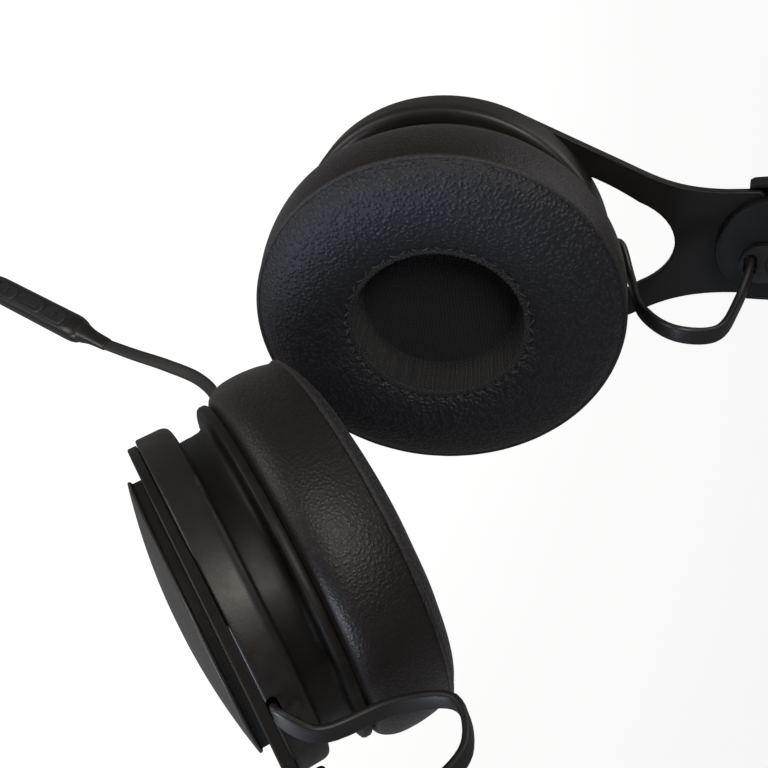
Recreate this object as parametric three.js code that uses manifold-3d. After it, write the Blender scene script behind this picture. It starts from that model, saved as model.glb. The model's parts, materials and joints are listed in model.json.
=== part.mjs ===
// Wired on-ear headset, relaxed and hung by its crown, in millimetres with +Z up and the
// origin where a hook or a head carries the crown pad. It is drawn lying down, with the crown
// along +Y and the cup centres near y = 0, and stood up at the end. Each ear cup is built in
// its own side frame: X across the arm, Y along the arm towards the headband and Z out of the
// cup towards the ear, with the origin on the arm plate's inner face.
import * as THREE from 'three';
import { mergeVertices } from 'three/addons/utils/BufferGeometryUtils.js';
import Module from 'manifold-3d';

const wasm = await Module();
wasm.setup();

// ---------- driving dimensions ----------
const GAP = 0.3;                     // clearance between pieces that touch

// stance of the relaxed headset
const HALF_SPAN = 38.8;              // arm plate centre to the middle plane
const SPLAY = 24.2;                  // degrees each arm leans outwards
const BAND_TWIST = 5.9;              // degrees each arm turns about the crown
const CROWN_HEIGHT = 142;            // cup centre to the crown

// arm plate
const PLATE_TOP = -0.15;
const PLATE_THICKNESS = 1.2;
const PLATE_RADIUS = 29.7;
const PLATE_BORE = 20;
const NECK_START = 46;               // distance from the cup centre along the arm
const NECK_HALF_WIDTH = 10.6;
const WINDOW_TIP = 41.9;             // far end of the open triangle
const STRIP_START = 58;
const STRIP_END = 86;
const STRIP_HALF_WIDTH = 7.5;

// outer cap
const CAP_RADIUS = 24.75;
const CAP_RIM_HEIGHT = -3.9;
const CAP_DOME = 2.8;
const CAP_PLUG = 20.6;
const CAP_SKIRT = 24.2;              // outside of the wall that hides the plate screws

// drum
const DRUM_RADIUS = 30.5;
const DRUM_BACK = 0.15;
const DRUM_FRONT = 6.2;
const DRUM_WALL = 1.5;
const DRUM_MOUTH = 27.4;
const DRUM_FLOOR = 0.6;
const CORD_SLOT_WIDTH = 5;
const CORD_SLOT_HEIGHT = 1.9;

// cup pivot
const PIVOT_HEIGHT = 8.9;
const GIMBAL_OUTER = 12;
const GIMBAL_INNER = 9.6;
const GIMBAL_HEIGHT = 3;
const PIN_RADIUS = 0.8;
const PIN_REACH = 1.8;
const POST_THICKNESS = 3;
const RIGHT_PITCH = -8.5;            // degrees the right cup rests turned about X
const RIGHT_YAW = 4;                 // and then about Y

// cup body
const NECK_BALL = 27;
const NECK_SKIRT = 5.4;
const FLANGE_RADIUS = 30.9;
const FLANGE_BACK = 11.5;
const FLANGE_FRONT = 13.3;
const BAFFLE_BACK = 12.1;
const HUB_RADIUS = 8.6;

// driver
const DRIVER_RADIUS = 20;
const DRIVER_FRONT = 17.6;

// ear cushion
const CUSHION_BACK = 13.6;
const CUSHION_BULGE = 33.2;
const SEAM_RADIUS = 32.4;
const SEAM_HEIGHT = 26.7;
const CUSHION_FRONT = 29.8;
const HOLE_RADIUS = 16.5;
const SCREEN_HEIGHT = 20.5;

// headband
const BAND_MOUTH = 54.5;               // outer shell starts here along the arm
const LINER_TIP = 49;
const LINER_RADIUS = 10;
const BAND_STRAIGHT = 86;
const BAND_HALF_WIDTH = 12.4;
const CROWN_HALF_WIDTH = 14.5;
const SHELL_DEPTH = 2.4;
const LINER_DEPTH = 2.9;
const PAD_DEPTH = 5.5;
const SHOULDER_REACH = 36;
const CROWN_REACH = 58;

// leads and cord
const LEAD_WIDTH = 3.2;
const LEAD_THICKNESS = 1.2;
const BOSS_OFFSET = 1.9;
const BOSS_HALF_WIDTH = 3.8;
const BOSS_START = 53.2;
const BOSS_END = 68;
const BOSS_TOP = 4.45;

// cord, hanging from the left drum: gland, in-line remote, tied hank and plug
const GLAND_BEND = [[0, -1, 3.1], [-3.4, -0.97, 3.6], [-7.4, -0.87, 5.6]];   // reach, aim, height
const REMOTE_TOP = new THREE.Vector3(-15, -107, -15.9);
const REMOTE_AIM = new THREE.Vector3(0, -48, 9).normalize();
const RELIEF_LENGTH = 9;
const SLEEVE_CORNER = 0.5;
const REMOTE_LENGTH = 46;
const REMOTE_WIDTH = 7.6;
const REMOTE_DEPTH = 6;
const REMOTE_WALL = 1.1;
const POCKET_ENDS = 10;              // solid length of the remote past its pocket
const BOARD_TOP = 1.3;
const BOARD_THICKNESS = 0.8;
const BUTTON_HALF_WIDTH = 2.2;
const BUTTON_SPANS = { up: [7, 16], centre: [17.2, 28.8], down: [30, 39] };
const BUTTON_TRAVEL = 0.4;
const HANK_TOP = new THREE.Vector3(-12, -192, -2);
const HANK_RUN = 40;                 // straight part of each turn
const HANK_FOLD = 9.6;               // inside radius of the folds
const HANK_TURNS_ACROSS = 3;
const HANK_TURNS_DEEP = 3;
const TURN_PITCH = 1.5;              // flat turns lie face to face
const DEEP_PITCH = 3.4;
const TIE_WIDTH = 9;
const TIE_THICKNESS = 1.1;
const TIE_CORNER = 0.1;
const TAIL_LENGTH = 11;
const PLUG_HALF_WIDTH = 3.7;
const PLUG_LENGTH = 14;
const PIN_LENGTH = 14;
const COLLAR_RADIUS = 2.7;
const COLLAR_LENGTH = 1.6;
const JACK_RADIUS = 1.75;            // 3.5 mm audio plug

const LATHE_STEPS = 28;

// ---------- materials ----------
function finish(color, roughness, metalness = 0) {
  return () => new THREE.MeshStandardMaterial({ color, roughness, metalness });
}
const mattePlastic = finish(0x171516, 0.55);
const softPlastic = finish(0x141416, 0.7);
const leather = finish(0x1a1b20, 0.5);
const fabric = finish(0x17181d, 0.95);
const steel = finish(0x9a9ca0, 0.35, 1);
const darkMetal = finish(0x2c2b2d, 0.45, 0.6);
const cable = finish(0x1c1b1d, 0.6);
const magnetFinish = finish(0x77787c, 0.4, 1);
const filmFinish = finish(0xb9b4a6, 0.4);
const boardFinish = finish(0x1f4a2f, 0.5);

// ---------- solid helpers ----------
// Welds the vertices, drops collapsed triangles and turns the faces outwards.
function solid(geometry) {
  geometry.deleteAttribute('normal');
  geometry.deleteAttribute('uv');
  const welded = mergeVertices(geometry, 1e-4);
  const position = welded.attributes.position;
  const index = welded.index.array;
  const kept = [];
  const a = new THREE.Vector3();
  const b = new THREE.Vector3();
  const c = new THREE.Vector3();
  let volume = 0;
  for (let i = 0; i < index.length; i += 3) {
    const [p, q, r] = [index[i], index[i + 1], index[i + 2]];
    if (p === q || q === r || r === p) continue;
    kept.push(p, q, r);
    a.fromBufferAttribute(position, p);
    b.fromBufferAttribute(position, q);
    c.fromBufferAttribute(position, r);
    volume += a.dot(b.cross(c));
  }
  if (volume < 0) kept.reverse();
  welded.setIndex(kept);
  welded.computeVertexNormals();
  return welded;
}

function toManifold(geometry) {
  return new wasm.Manifold(new wasm.Mesh({
    numProp: 3,
    vertProperties: new Float32Array(geometry.attributes.position.array),
    triVerts: new Uint32Array(geometry.index.array),
  }));
}

function fromManifold(manifold) {
  const mesh = manifold.getMesh();
  const geometry = new THREE.BufferGeometry();
  geometry.setAttribute('position', new THREE.BufferAttribute(mesh.vertProperties, 3));
  geometry.setIndex(new THREE.BufferAttribute(mesh.triVerts, 1));
  geometry.computeVertexNormals();
  return geometry;
}

function join(...geometries) {
  return fromManifold(geometries.map(toManifold).reduce((sum, next) => sum.add(next)));
}

function cut(geometry, ...tools) {
  const rest = tools.map(toManifold).reduce((left, tool) => left.subtract(tool), toManifold(geometry));
  return fromManifold(rest);
}

// Revolves [radius, height] pairs about Z.
function lathe(profile, steps = LATHE_STEPS) {
  const points = profile.map(([radius, height]) => new THREE.Vector2(radius, height));
  return solid(new THREE.LatheGeometry(points, steps).rotateX(Math.PI / 2));
}

// A lathe profile that closes on itself.
function ring(profile, steps) {
  return lathe([...profile, profile[0]], steps);
}

function disc(radius, bottom, top, steps) {
  return lathe([[0, bottom], [radius, bottom], [radius, top], [0, top]], steps);
}

function plate(shape, bottom, top, curveSegments = 10) {
  const settings = { depth: top - bottom, bevelEnabled: false, curveSegments };
  const geometry = new THREE.ExtrudeGeometry(shape, settings);
  return solid(geometry.translate(0, 0, bottom));
}

function block(size, centre) {
  return solid(new THREE.BoxGeometry(...size).translate(...centre));
}

function rod(radius, from, to, steps = 12) {
  const start = new THREE.Vector3(...from);
  const axis = new THREE.Vector3(...to).sub(start);
  const geometry = new THREE.CylinderGeometry(radius, radius, axis.length(), steps);
  const upright = new THREE.Vector3(0, 1, 0);
  const turn = new THREE.Quaternion().setFromUnitVectors(upright, axis.clone().normalize());
  geometry.applyQuaternion(turn).translate(...start.addScaledVector(axis, 0.5).toArray());
  return solid(geometry);
}

// Skins a closed solid through rings of points; every ring has the same count, and the
// flat section of [across, through] pairs triangulates the two end caps.
function loft(rings, section) {
  const count = rings[0].length;
  const points = rings.flat();
  const faces = [];
  for (let i = 0; i + 1 < rings.length; i++) {
    for (let j = 0; j < count; j++) {
      const a = i * count + j;
      const b = i * count + (j + 1) % count;
      faces.push(a, b, b + count, a, b + count, a + count);
    }
  }
  const cap = THREE.ShapeUtils.triangulateShape(section.map(([x, y]) => new THREE.Vector2(x, y)), []);
  const last = (rings.length - 1) * count;
  for (const [a, b, c] of cap) faces.push(c, b, a, last + a, last + b, last + c);
  const geometry = new THREE.BufferGeometry().setFromPoints(points);
  geometry.setIndex(faces);
  return solid(geometry);
}

// A rectangle with cut corners, as [across, through] pairs.
function softRectangle(halfWidth, low, high, corner) {
  return [
    [-halfWidth, low + corner], [-halfWidth + corner, low],
    [halfWidth - corner, low], [halfWidth, low + corner],
    [halfWidth, high - corner], [halfWidth - corner, high],
    [-halfWidth + corner, high], [-halfWidth, high - corner],
  ];
}

function add(parent, name, geometry, material) {
  const mesh = new THREE.Mesh(geometry, material());
  mesh.name = name;
  parent.add(mesh);
  return mesh;
}

// ---------- pieces of one ear cup ----------
function outerCap() {
  const back = PLATE_TOP - PLATE_THICKNESS - GAP;
  const profile = [[0, back], [CAP_PLUG, back], [CAP_PLUG, CAP_RIM_HEIGHT + 0.6]];
  profile.push([CAP_SKIRT - 0.55, CAP_RIM_HEIGHT + 0.6], [CAP_SKIRT - 0.55, back]);
  profile.push([CAP_SKIRT, back], [CAP_SKIRT, CAP_RIM_HEIGHT + 0.6]);
  profile.push([CAP_RADIUS, CAP_RIM_HEIGHT + 0.5], [CAP_RADIUS, CAP_RIM_HEIGHT]);
  for (let i = 1; i <= 5; i++) {
    const reach = 1 - i / 5;
    profile.push([CAP_RADIUS * reach, CAP_RIM_HEIGHT - CAP_DOME * (1 - reach * reach)]);
  }
  return lathe(profile);
}

// Ring, two tangent arms, neck and slider strip in one stamped plate.
function armPlate() {
  const slope = THREE.MathUtils.degToRad(28.7);
  const tangentX = PLATE_RADIUS * Math.cos(slope);
  const tangentY = PLATE_RADIUS * Math.sin(slope);
  const outline = new THREE.Shape();
  outline.moveTo(tangentX, tangentY);
  outline.lineTo(15.2, 34.5);
  outline.bezierCurveTo(12.6, 39.2, NECK_HALF_WIDTH, NECK_START - 3, NECK_HALF_WIDTH - 0.3, NECK_START + 5);
  outline.lineTo(NECK_HALF_WIDTH - 0.3, STRIP_START - 2);
  outline.lineTo(STRIP_HALF_WIDTH, STRIP_START);
  outline.lineTo(STRIP_HALF_WIDTH, STRIP_END);
  outline.lineTo(-STRIP_HALF_WIDTH, STRIP_END);
  outline.lineTo(-STRIP_HALF_WIDTH, STRIP_START);
  outline.lineTo(-NECK_HALF_WIDTH + 0.3, STRIP_START - 2);
  outline.lineTo(-NECK_HALF_WIDTH + 0.3, NECK_START + 5);
  outline.bezierCurveTo(-NECK_HALF_WIDTH, NECK_START - 3, -12.6, 39.2, -15.2, 34.5);
  outline.lineTo(-tangentX, tangentY);
  outline.absarc(0, 0, PLATE_RADIUS, Math.PI - slope, 2 * Math.PI + slope, false);

  const opening = new THREE.Path();
  opening.moveTo(-14.1, 26.19);
  opening.lineTo(-8.6, 35.4);
  opening.bezierCurveTo(-6.6, 39.6, -3.4, WINDOW_TIP, 0, WINDOW_TIP);
  opening.bezierCurveTo(3.4, WINDOW_TIP, 6.6, 39.6, 8.6, 35.4);
  opening.lineTo(14.1, 26.19);
  opening.absarc(0, 0, PLATE_RADIUS + 0.05, Math.atan2(26.19, 14.1), Math.atan2(26.19, -14.1), false);
  outline.holes.push(opening);

  const bore = new THREE.Path();
  bore.absarc(0, 0, PLATE_BORE, 0, 2 * Math.PI, true);
  outline.holes.push(bore);
  return plate(outline, PLATE_TOP - PLATE_THICKNESS, PLATE_TOP);
}

function drum(cordSide) {
  const edge = 1.4;
  const body = lathe([
    [0, DRUM_BACK], [DRUM_RADIUS, DRUM_BACK], [DRUM_RADIUS, DRUM_FRONT - edge],
    [DRUM_RADIUS - 0.4, DRUM_FRONT - 0.4], [DRUM_RADIUS - edge, DRUM_FRONT],
    [DRUM_MOUTH, DRUM_FRONT], [DRUM_MOUTH, DRUM_FRONT - 1.2],
    [DRUM_RADIUS - DRUM_WALL, DRUM_FRONT - 1.6], [DRUM_RADIUS - DRUM_WALL, DRUM_BACK + DRUM_FLOOR],
    [0, DRUM_BACK + DRUM_FLOOR],
  ]);
  const posts = [-1, 1].map((side) => {
    const x = side * (GIMBAL_OUTER + GAP + 0.2 + POST_THICKNESS / 2);
    const height = PIVOT_HEIGHT + 1.3 - DRUM_BACK;
    const post = block([POST_THICKNESS, 5, height], [x, 0, DRUM_BACK + height / 2]);
    const hole = rod(PIN_RADIUS + GAP, [side * GIMBAL_OUTER, 0, PIVOT_HEIGHT],
      [side * (GIMBAL_OUTER + PIN_REACH + 2 * GAP), 0, PIVOT_HEIGHT]);
    return cut(post, hole);
  });
  const slot = block([CORD_SLOT_WIDTH, 6, CORD_SLOT_HEIGHT],
    [cordSide * 0.4, DRUM_RADIUS, DRUM_BACK + CORD_SLOT_HEIGHT / 2 - 0.05]);
  return cut(join(body, ...posts), slot);
}

function gimbal() {
  const low = -GIMBAL_HEIGHT / 2;
  const high = GIMBAL_HEIGHT / 2;
  const hoop = ring([
    [GIMBAL_INNER, low], [GIMBAL_OUTER, low], [GIMBAL_OUTER, high], [GIMBAL_INNER, high],
  ], LATHE_STEPS);
  const outerPins = [-1, 1].map((side) => rod(PIN_RADIUS,
    [side * (GIMBAL_OUTER - 1), 0, 0], [side * (GIMBAL_OUTER + PIN_REACH), 0, 0]));
  const innerPins = [-1, 1].map((side) => rod(PIN_RADIUS,
    [0, side * (GIMBAL_INNER + 1), 0], [0, side * (GIMBAL_INNER - PIN_REACH - 0.7), 0]));
  return join(hoop, ...outerPins, ...innerPins);
}

// Ball-shaped neck, cove and flange with the driver baffle, about the pivot at height zero.
function cupBody() {
  const skirt = NECK_SKIRT - PIVOT_HEIGHT;
  const back = FLANGE_BACK - PIVOT_HEIGHT;
  const front = FLANGE_FRONT - PIVOT_HEIGHT;
  const baffle = BAFFLE_BACK - PIVOT_HEIGHT;
  const profile = [];
  for (let i = 0; i <= 3; i++) {
    const height = skirt * (1 - i / 3);
    profile.push([Math.sqrt(NECK_BALL ** 2 - height ** 2), height]);
  }
  profile.push([27.15, 1.2], [27.7, back - 0.4], [28.6, back - 0.1], [30.2, back]);
  profile.push([FLANGE_RADIUS, back + 0.5]);
  profile.push([FLANGE_RADIUS, front - 0.3], [FLANGE_RADIUS - 0.3, front]);
  profile.push([DRIVER_RADIUS + 1.2, front], [DRIVER_RADIUS + 1.2, front - 0.5], [0, front - 0.5]);
  profile.push([0, baffle], [24.2, baffle], [25.2, skirt]);
  const hub = disc(HUB_RADIUS, -GIMBAL_HEIGHT / 2 - 0.2, baffle + 0.2, 28);
  const pinHoles = [-1, 1].map((side) => rod(PIN_RADIUS + GAP,
    [0, side * (GIMBAL_INNER - PIN_REACH - 0.7 - GAP), 0], [0, side * (HUB_RADIUS + 1), 0]));
  return cut(join(ring(profile), hub), ...pinHoles);
}

function driverFrame() {
  const base = FLANGE_FRONT - 0.5 + GAP - PIVOT_HEIGHT;
  const front = DRIVER_FRONT - PIVOT_HEIGHT;
  return ring([
    [10.6, base], [DRIVER_RADIUS, base], [DRIVER_RADIUS, base + 1.2], [15.9, base + 1.5],
    [15.9, front], [14.2, front], [14.2, base + 1.2], [10.6, base + 1.2],
  ]);
}

function driverMagnet() {
  const base = FLANGE_FRONT - 0.5 + GAP - PIVOT_HEIGHT;
  return disc(10.2, base, base + 2.6, 28);
}

function driverDiaphragm() {
  const front = DRIVER_FRONT - 0.9 - PIVOT_HEIGHT;
  return lathe([[0, front - 0.6], [7, front - 0.2], [13.8, front], [13.8, front + 0.3],
    [7.2, front + 0.2], [0, front + 1.4]], 28);
}

// Crowned ring pad with its seam on the outer shoulder.
function cushion() {
  const lift = (height) => height - PIVOT_HEIGHT;
  return ring([
    [HOLE_RADIUS + 0.3, lift(15.6)], [DRIVER_RADIUS + 0.7, lift(15)],
    [DRIVER_RADIUS + 0.7, lift(CUSHION_BACK)],
    [29.6, lift(CUSHION_BACK)], [31.4, lift(CUSHION_BACK + 0.7)],
    [32.7, lift(16.4)], [CUSHION_BULGE, lift(19.5)], [33.0, lift(23.5)], [SEAM_RADIUS, lift(SEAM_HEIGHT)],
    [30.6, lift(28.3)], [28, lift(29.3)], [24.5, lift(CUSHION_FRONT)], [20.5, lift(CUSHION_FRONT - 0.1)],
    [17.8, lift(28.9)], [HOLE_RADIUS, lift(27.4)], [HOLE_RADIUS - 0.2, lift(22)],
  ]);
}

function screen() {
  const height = SCREEN_HEIGHT - PIVOT_HEIGHT;
  return disc(HOLE_RADIUS - 0.8, height, height + 0.9, 28);
}

function plateScrew(angle) {
  const radius = PLATE_BORE + 2.4;
  const head = PLATE_TOP - PLATE_THICKNESS - GAP;
  return disc(1.1, head - 0.7, head, 12).translate(radius * Math.cos(angle), radius * Math.sin(angle), 0);
}

// Flat lead that arches from the drum's slot over to the headband.
function armLead(cordSide) {
  const arch = [[0, 31.9, 0.95], [4.6, 34.3, 4.6], [4.8, 37.2, 16.2], [4.5, 43, 23.2], [6, 49.5, 20.8],
    [5.4, 53, 12.2], [BOSS_OFFSET, 55, 6.4], [BOSS_OFFSET, 55.1, BOSS_TOP + 0.4]];
  const curve = new THREE.CatmullRomCurve3(arch.map(([x, y, z]) => new THREE.Vector3(cordSide * x, y, z)));
  const steps = 24;
  const rings = [];
  const across = new THREE.Vector3(1, 0, 0);
  for (let i = 0; i <= steps; i++) {
    const point = curve.getPointAt(i / steps);
    const along = curve.getTangentAt(i / steps);
    const wide = across.clone().addScaledVector(along, -across.dot(along)).normalize();
    const thin = along.clone().cross(wide);
    rings.push(softRectangle(LEAD_WIDTH / 2, -LEAD_THICKNESS / 2, LEAD_THICKNESS / 2, 0.25)
      .map(([a, b]) => point.clone().addScaledVector(wide, a).addScaledVector(thin, b)));
  }
  return loft(rings, softRectangle(LEAD_WIDTH / 2, -LEAD_THICKNESS / 2, LEAD_THICKNESS / 2, 0.25));
}

function leadBoss(cordSide) {
  const shape = new THREE.Shape();
  const x = cordSide * BOSS_OFFSET;
  shape.absarc(x, BOSS_START + BOSS_HALF_WIDTH, BOSS_HALF_WIDTH, Math.PI, 2 * Math.PI, false);
  shape.absarc(x, BOSS_END - BOSS_HALF_WIDTH, BOSS_HALF_WIDTH, 0, Math.PI, false);
  return plate(shape, LINER_DEPTH + DRUM_BACK + GAP, BOSS_TOP);
}

// ---------- one side ----------
function earSide(name, sign, cordSide, pitch, yaw) {
  const arm = new THREE.Group();
  arm.position.set(0, CROWN_HEIGHT, 0);
  arm.rotation.x = sign * THREE.MathUtils.degToRad(BAND_TWIST);

  const side = new THREE.Group();
  const lean = THREE.MathUtils.degToRad(SPLAY);
  const across = new THREE.Vector3(0, 0, sign);
  const along = new THREE.Vector3(sign * Math.sin(lean), Math.cos(lean), 0);
  const outward = across.clone().cross(along);
  side.quaternion.setFromRotationMatrix(new THREE.Matrix4().makeBasis(across, along, outward));
  side.position.set(sign * HALF_SPAN, -CROWN_HEIGHT, 0);
  arm.add(side);

  add(side, `outer_cap_${name}`, outerCap(), mattePlastic);
  add(side, `arm_plate_${name}`, armPlate(), darkMetal);
  add(side, `drum_${name}`, drum(cordSide), mattePlastic);
  for (let i = 0; i < 3; i++) {
    add(side, `plate_screw_${name}_${i + 1}`, plateScrew((i + 0.5) * 2 * Math.PI / 3), steel);
  }
  add(side, `arm_lead_${name}`, armLead(cordSide), cable);
  add(side, `lead_boss_${name}`, leadBoss(cordSide), softPlastic);

  const pitchTurn = new THREE.Group();
  pitchTurn.position.set(0, 0, PIVOT_HEIGHT);
  pitchTurn.rotation.x = THREE.MathUtils.degToRad(pitch);
  side.add(pitchTurn);
  add(pitchTurn, `gimbal_${name}`, gimbal(), steel);

  const cup = new THREE.Group();
  cup.rotation.y = THREE.MathUtils.degToRad(yaw);
  pitchTurn.add(cup);
  add(cup, `cup_body_${name}`, cupBody(), mattePlastic);
  add(cup, `driver_frame_${name}`, driverFrame(), softPlastic);
  add(cup, `driver_magnet_${name}`, driverMagnet(), magnetFinish);
  add(cup, `driver_diaphragm_${name}`, driverDiaphragm(), filmFinish);
  add(cup, `ear_cushion_${name}`, cushion(), leather);
  add(cup, `ear_screen_${name}`, screen(), fabric);
  return { arm, side, pitchTurn, cup };
}

// ---------- headband ----------
// Stations run from the left arm over the crown to the right arm.
function bandStation(side, reach) {
  const origin = side.localToWorld(new THREE.Vector3(0, reach, 0));
  const along = new THREE.Vector3(0, 1, 0).transformDirection(side.matrixWorld);
  const across = new THREE.Vector3(1, 0, 0).transformDirection(side.matrixWorld);
  return { origin, along, across };
}

function bandStations(left, right, reaches, crownSteps) {
  const list = [];
  for (const reach of reaches) list.push({ reach, ...bandStation(left, reach) });
  if (crownSteps) {
    const from = bandStation(left, BAND_STRAIGHT);
    const to = bandStation(right, BAND_STRAIGHT);
    const crown = new THREE.Vector3(0, CROWN_HEIGHT, 0);
    const curves = [
      new THREE.CubicBezierCurve3(
        from.origin, from.origin.clone().addScaledVector(from.along, SHOULDER_REACH),
        crown.clone().add(new THREE.Vector3(CROWN_REACH, 0, 0)), crown),
      new THREE.CubicBezierCurve3(crown, crown.clone().add(new THREE.Vector3(-CROWN_REACH, 0, 0)),
        to.origin.clone().addScaledVector(to.along, SHOULDER_REACH), to.origin),
    ];
    for (let i = 1; i < 2 * crownSteps; i++) {
      const share = i / (2 * crownSteps);
      const curve = curves[share < 0.5 ? 0 : 1];
      const u = share < 0.5 ? share * 2 : share * 2 - 1;
      const across = from.across.clone().lerp(to.across.clone().negate(), share);
      list.push({ share, origin: curve.getPoint(u), along: curve.getTangent(u), across });
    }
  }
  for (const reach of [...reaches].reverse()) {
    const station = bandStation(right, reach);
    station.along.negate();
    station.across.negate();
    list.push({ reach, ...station });
  }
  return list;
}

function bandRing(station, section) {
  const slant = station.across.dot(station.along);
  const across = station.across.clone().addScaledVector(station.along, -slant).normalize();
  const inward = across.clone().cross(station.along).normalize();
  return section.map(([a, b]) => station.origin.clone()
    .addScaledVector(across, a).addScaledVector(inward, b));
}

function bandWidth(station, end, crown) {
  if (station.share === undefined) return end;
  return end + (crown - end) * Math.sin(Math.PI * station.share) ** 0.8;
}

// Outer shell: a channel open towards the head, flared at its mouths.
function bandShell(left, right) {
  const outer = PLATE_TOP - PLATE_THICKNESS - GAP - SHELL_DEPTH;
  const floor = PLATE_TOP - PLATE_THICKNESS - GAP;
  const reaches = [BAND_MOUTH, 57, 60, 60.6, 66, 76, BAND_STRAIGHT];
  const section = (half, channel) => [
    [-half, outer + 1.2], [-half + 1.5, outer], [half - 1.5, outer], [half, outer + 1.2],
    [half, PLATE_TOP], [channel, PLATE_TOP], [channel, floor], [-channel, floor],
    [-channel, PLATE_TOP], [-half, PLATE_TOP],
  ];
  const rings = bandStations(left, right, reaches, 12).map((station) => {
    const mouth = station.reach === undefined ? 1 : Math.min(1, (station.reach - BAND_MOUTH) / 10);
    const end = 11.8 + (BAND_HALF_WIDTH - 11.8) * mouth;
    const channel = station.reach <= 60 ? NECK_HALF_WIDTH + GAP : STRIP_HALF_WIDTH + 0.5;
    return bandRing(station, section(bandWidth(station, end, CROWN_HALF_WIDTH), channel));
  });
  return loft(rings, section(12, 9));
}

function springBand(left, right) {
  const section = [[-6, PLATE_TOP - 1.1], [6, PLATE_TOP - 1.1], [6, PLATE_TOP - 0.3], [-6, PLATE_TOP - 0.3]];
  const stations = bandStations(left, right, [BAND_STRAIGHT + GAP], 12);
  return loft(stations.map((station) => bandRing(station, section)), section);
}

// Inner shell of one headband end, with a half-round tip over the arm.
function bandLiner(side) {
  const low = DRUM_BACK;
  const high = DRUM_BACK + LINER_DEPTH;
  const tip = [0.25, 1, 2.2, 4, 6.5, 9.9].map((step) => LINER_TIP + step);
  const stations = [...tip, 66, 76, BAND_STRAIGHT].map((reach) => ({ reach, ...bandStation(side, reach) }));
  const rings = stations.map((station) => {
    const rest = LINER_RADIUS - (station.reach - LINER_TIP);
    const half = rest > 0 ? Math.sqrt(LINER_RADIUS ** 2 - rest ** 2) : LINER_RADIUS + Math.min(1, -rest / 12);
    return bandRing(station, softRectangle(half, low, high, Math.min(0.7, half / 3)));
  });
  return loft(rings, softRectangle(1, low, high, 0.3));
}

function crownPad(left, right) {
  const section = (half, depth) => softRectangle(half, DRUM_BACK, DRUM_BACK + depth, 1);
  const stations = bandStations(left, right, [BAND_STRAIGHT + GAP], 12);
  const rings = stations.map((station) => {
    const depth = LINER_DEPTH + (PAD_DEPTH - LINER_DEPTH) * Math.sin(Math.PI * (station.share ?? 0));
    return bandRing(station, section(bandWidth(station, 11, CROWN_HALF_WIDTH - 1.2), depth));
  });
  return loft(rings, section(11, LINER_DEPTH));
}

// ---------- cord, remote and plug ----------
// One ring of a flat or tapered run: width lies along the hint, depth through it.
function runRing(point, along, hint, width, depth, corner) {
  const wide = hint.clone().addScaledVector(along, -hint.dot(along)).normalize();
  const thin = along.clone().cross(wide);
  return softRectangle(width / 2, -depth / 2, depth / 2, corner)
    .map(([a, b]) => point.clone().addScaledVector(wide, a).addScaledVector(thin, b));
}

// A tapered sleeve through [point, along, width, depth] stations.
function sleeve(stations, hint) {
  const rings = stations.map(([point, along, width, depth]) => (
    runRing(point, along, hint, width, depth, SLEEVE_CORNER)));
  return loft(rings, softRectangle(1, -0.5, 0.5, 0.3));
}

// A straight sleeve that narrows away from its root.
function relief(root, along, hint) {
  const shares = [[0, 4.8, 3.8], [0.25, 4.3, 3.1], [0.6, 3.9, 2.5], [1, 3.7, 2.1]];
  return sleeve(shares.map(([share, width, depth]) => [
    root.clone().addScaledVector(along, share * RELIEF_LENGTH), along, width, depth]), hint);
}

function tube(points, steps) {
  const section = new THREE.Shape();
  section.absarc(0, 0, LEAD_WIDTH / 2, 0, 2 * Math.PI, false);
  return solid(new THREE.ExtrudeGeometry(section, {
    steps, curveSegments: 4, extrudePath: new THREE.CatmullRomCurve3(points), bevelEnabled: false,
  }));
}

function capsule(halfWidth, low, high) {
  const shape = new THREE.Shape();
  shape.absarc(0, low + halfWidth, halfWidth, Math.PI, 2 * Math.PI, false);
  shape.absarc(0, high - halfWidth, halfWidth, 0, Math.PI, false);
  return shape;
}

function gland() {
  const hint = new THREE.Vector3(1, 0, 0);
  const sizes = [[6.6, 4.6], [5, 3.4], [4, 2.4]];
  return sleeve(GLAND_BEND.map(([reach, aim, height], i) => [
    new THREE.Vector3(0, -DRUM_RADIUS - GAP + reach, height),
    new THREE.Vector3(0, aim, Math.sqrt(1 - aim * aim)), ...sizes[i]]), hint);
}

// Remote frame: X across, Y down the cord, Z out of the button face.
function remoteGroup() {
  const group = new THREE.Group();
  const face = new THREE.Vector3(0.35, 0, 0.94);
  face.addScaledVector(REMOTE_AIM, -face.dot(REMOTE_AIM)).normalize();
  const across = REMOTE_AIM.clone().cross(face);
  group.quaternion.setFromRotationMatrix(new THREE.Matrix4().makeBasis(across, REMOTE_AIM, face));
  group.position.copy(REMOTE_TOP);
  return group;
}

// Half of the remote's housing, on the side of Z that facing gives, with its pocket open.
function remoteHalf(facing) {
  const split = facing * GAP / 2;
  const ends = [[0, 0.55], [1.2, 0.8], [3.4, 1]];
  const lengths = [...ends, ...ends.map(([step, scale]) => [REMOTE_LENGTH - step, scale]).reverse()];
  const rings = lengths.map(([step, scale]) => {
    const half = REMOTE_WIDTH / 2 * scale;
    const depth = facing * REMOTE_DEPTH / 2 * scale;
    const outline = [[-half, split], [-half, depth * 0.4], [-half * 0.86, depth * 0.75], [-half * 0.6, depth],
      [half * 0.6, depth], [half * 0.86, depth * 0.75], [half, depth * 0.4], [half, split]];
    if (facing > 0) outline.reverse();
    return outline.map(([x, z]) => new THREE.Vector3(x, step, z));
  });
  const shell = loft(rings, rings[2].map(({ x, z }) => [x, z]));
  const pocketDepth = REMOTE_DEPTH / 2 - REMOTE_WALL;
  const pocket = block([REMOTE_WIDTH - 2 * REMOTE_WALL, REMOTE_LENGTH - POCKET_ENDS, 2 * pocketDepth],
    [0, REMOTE_LENGTH / 2, 0]);
  return cut(shell, pocket);
}

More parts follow.
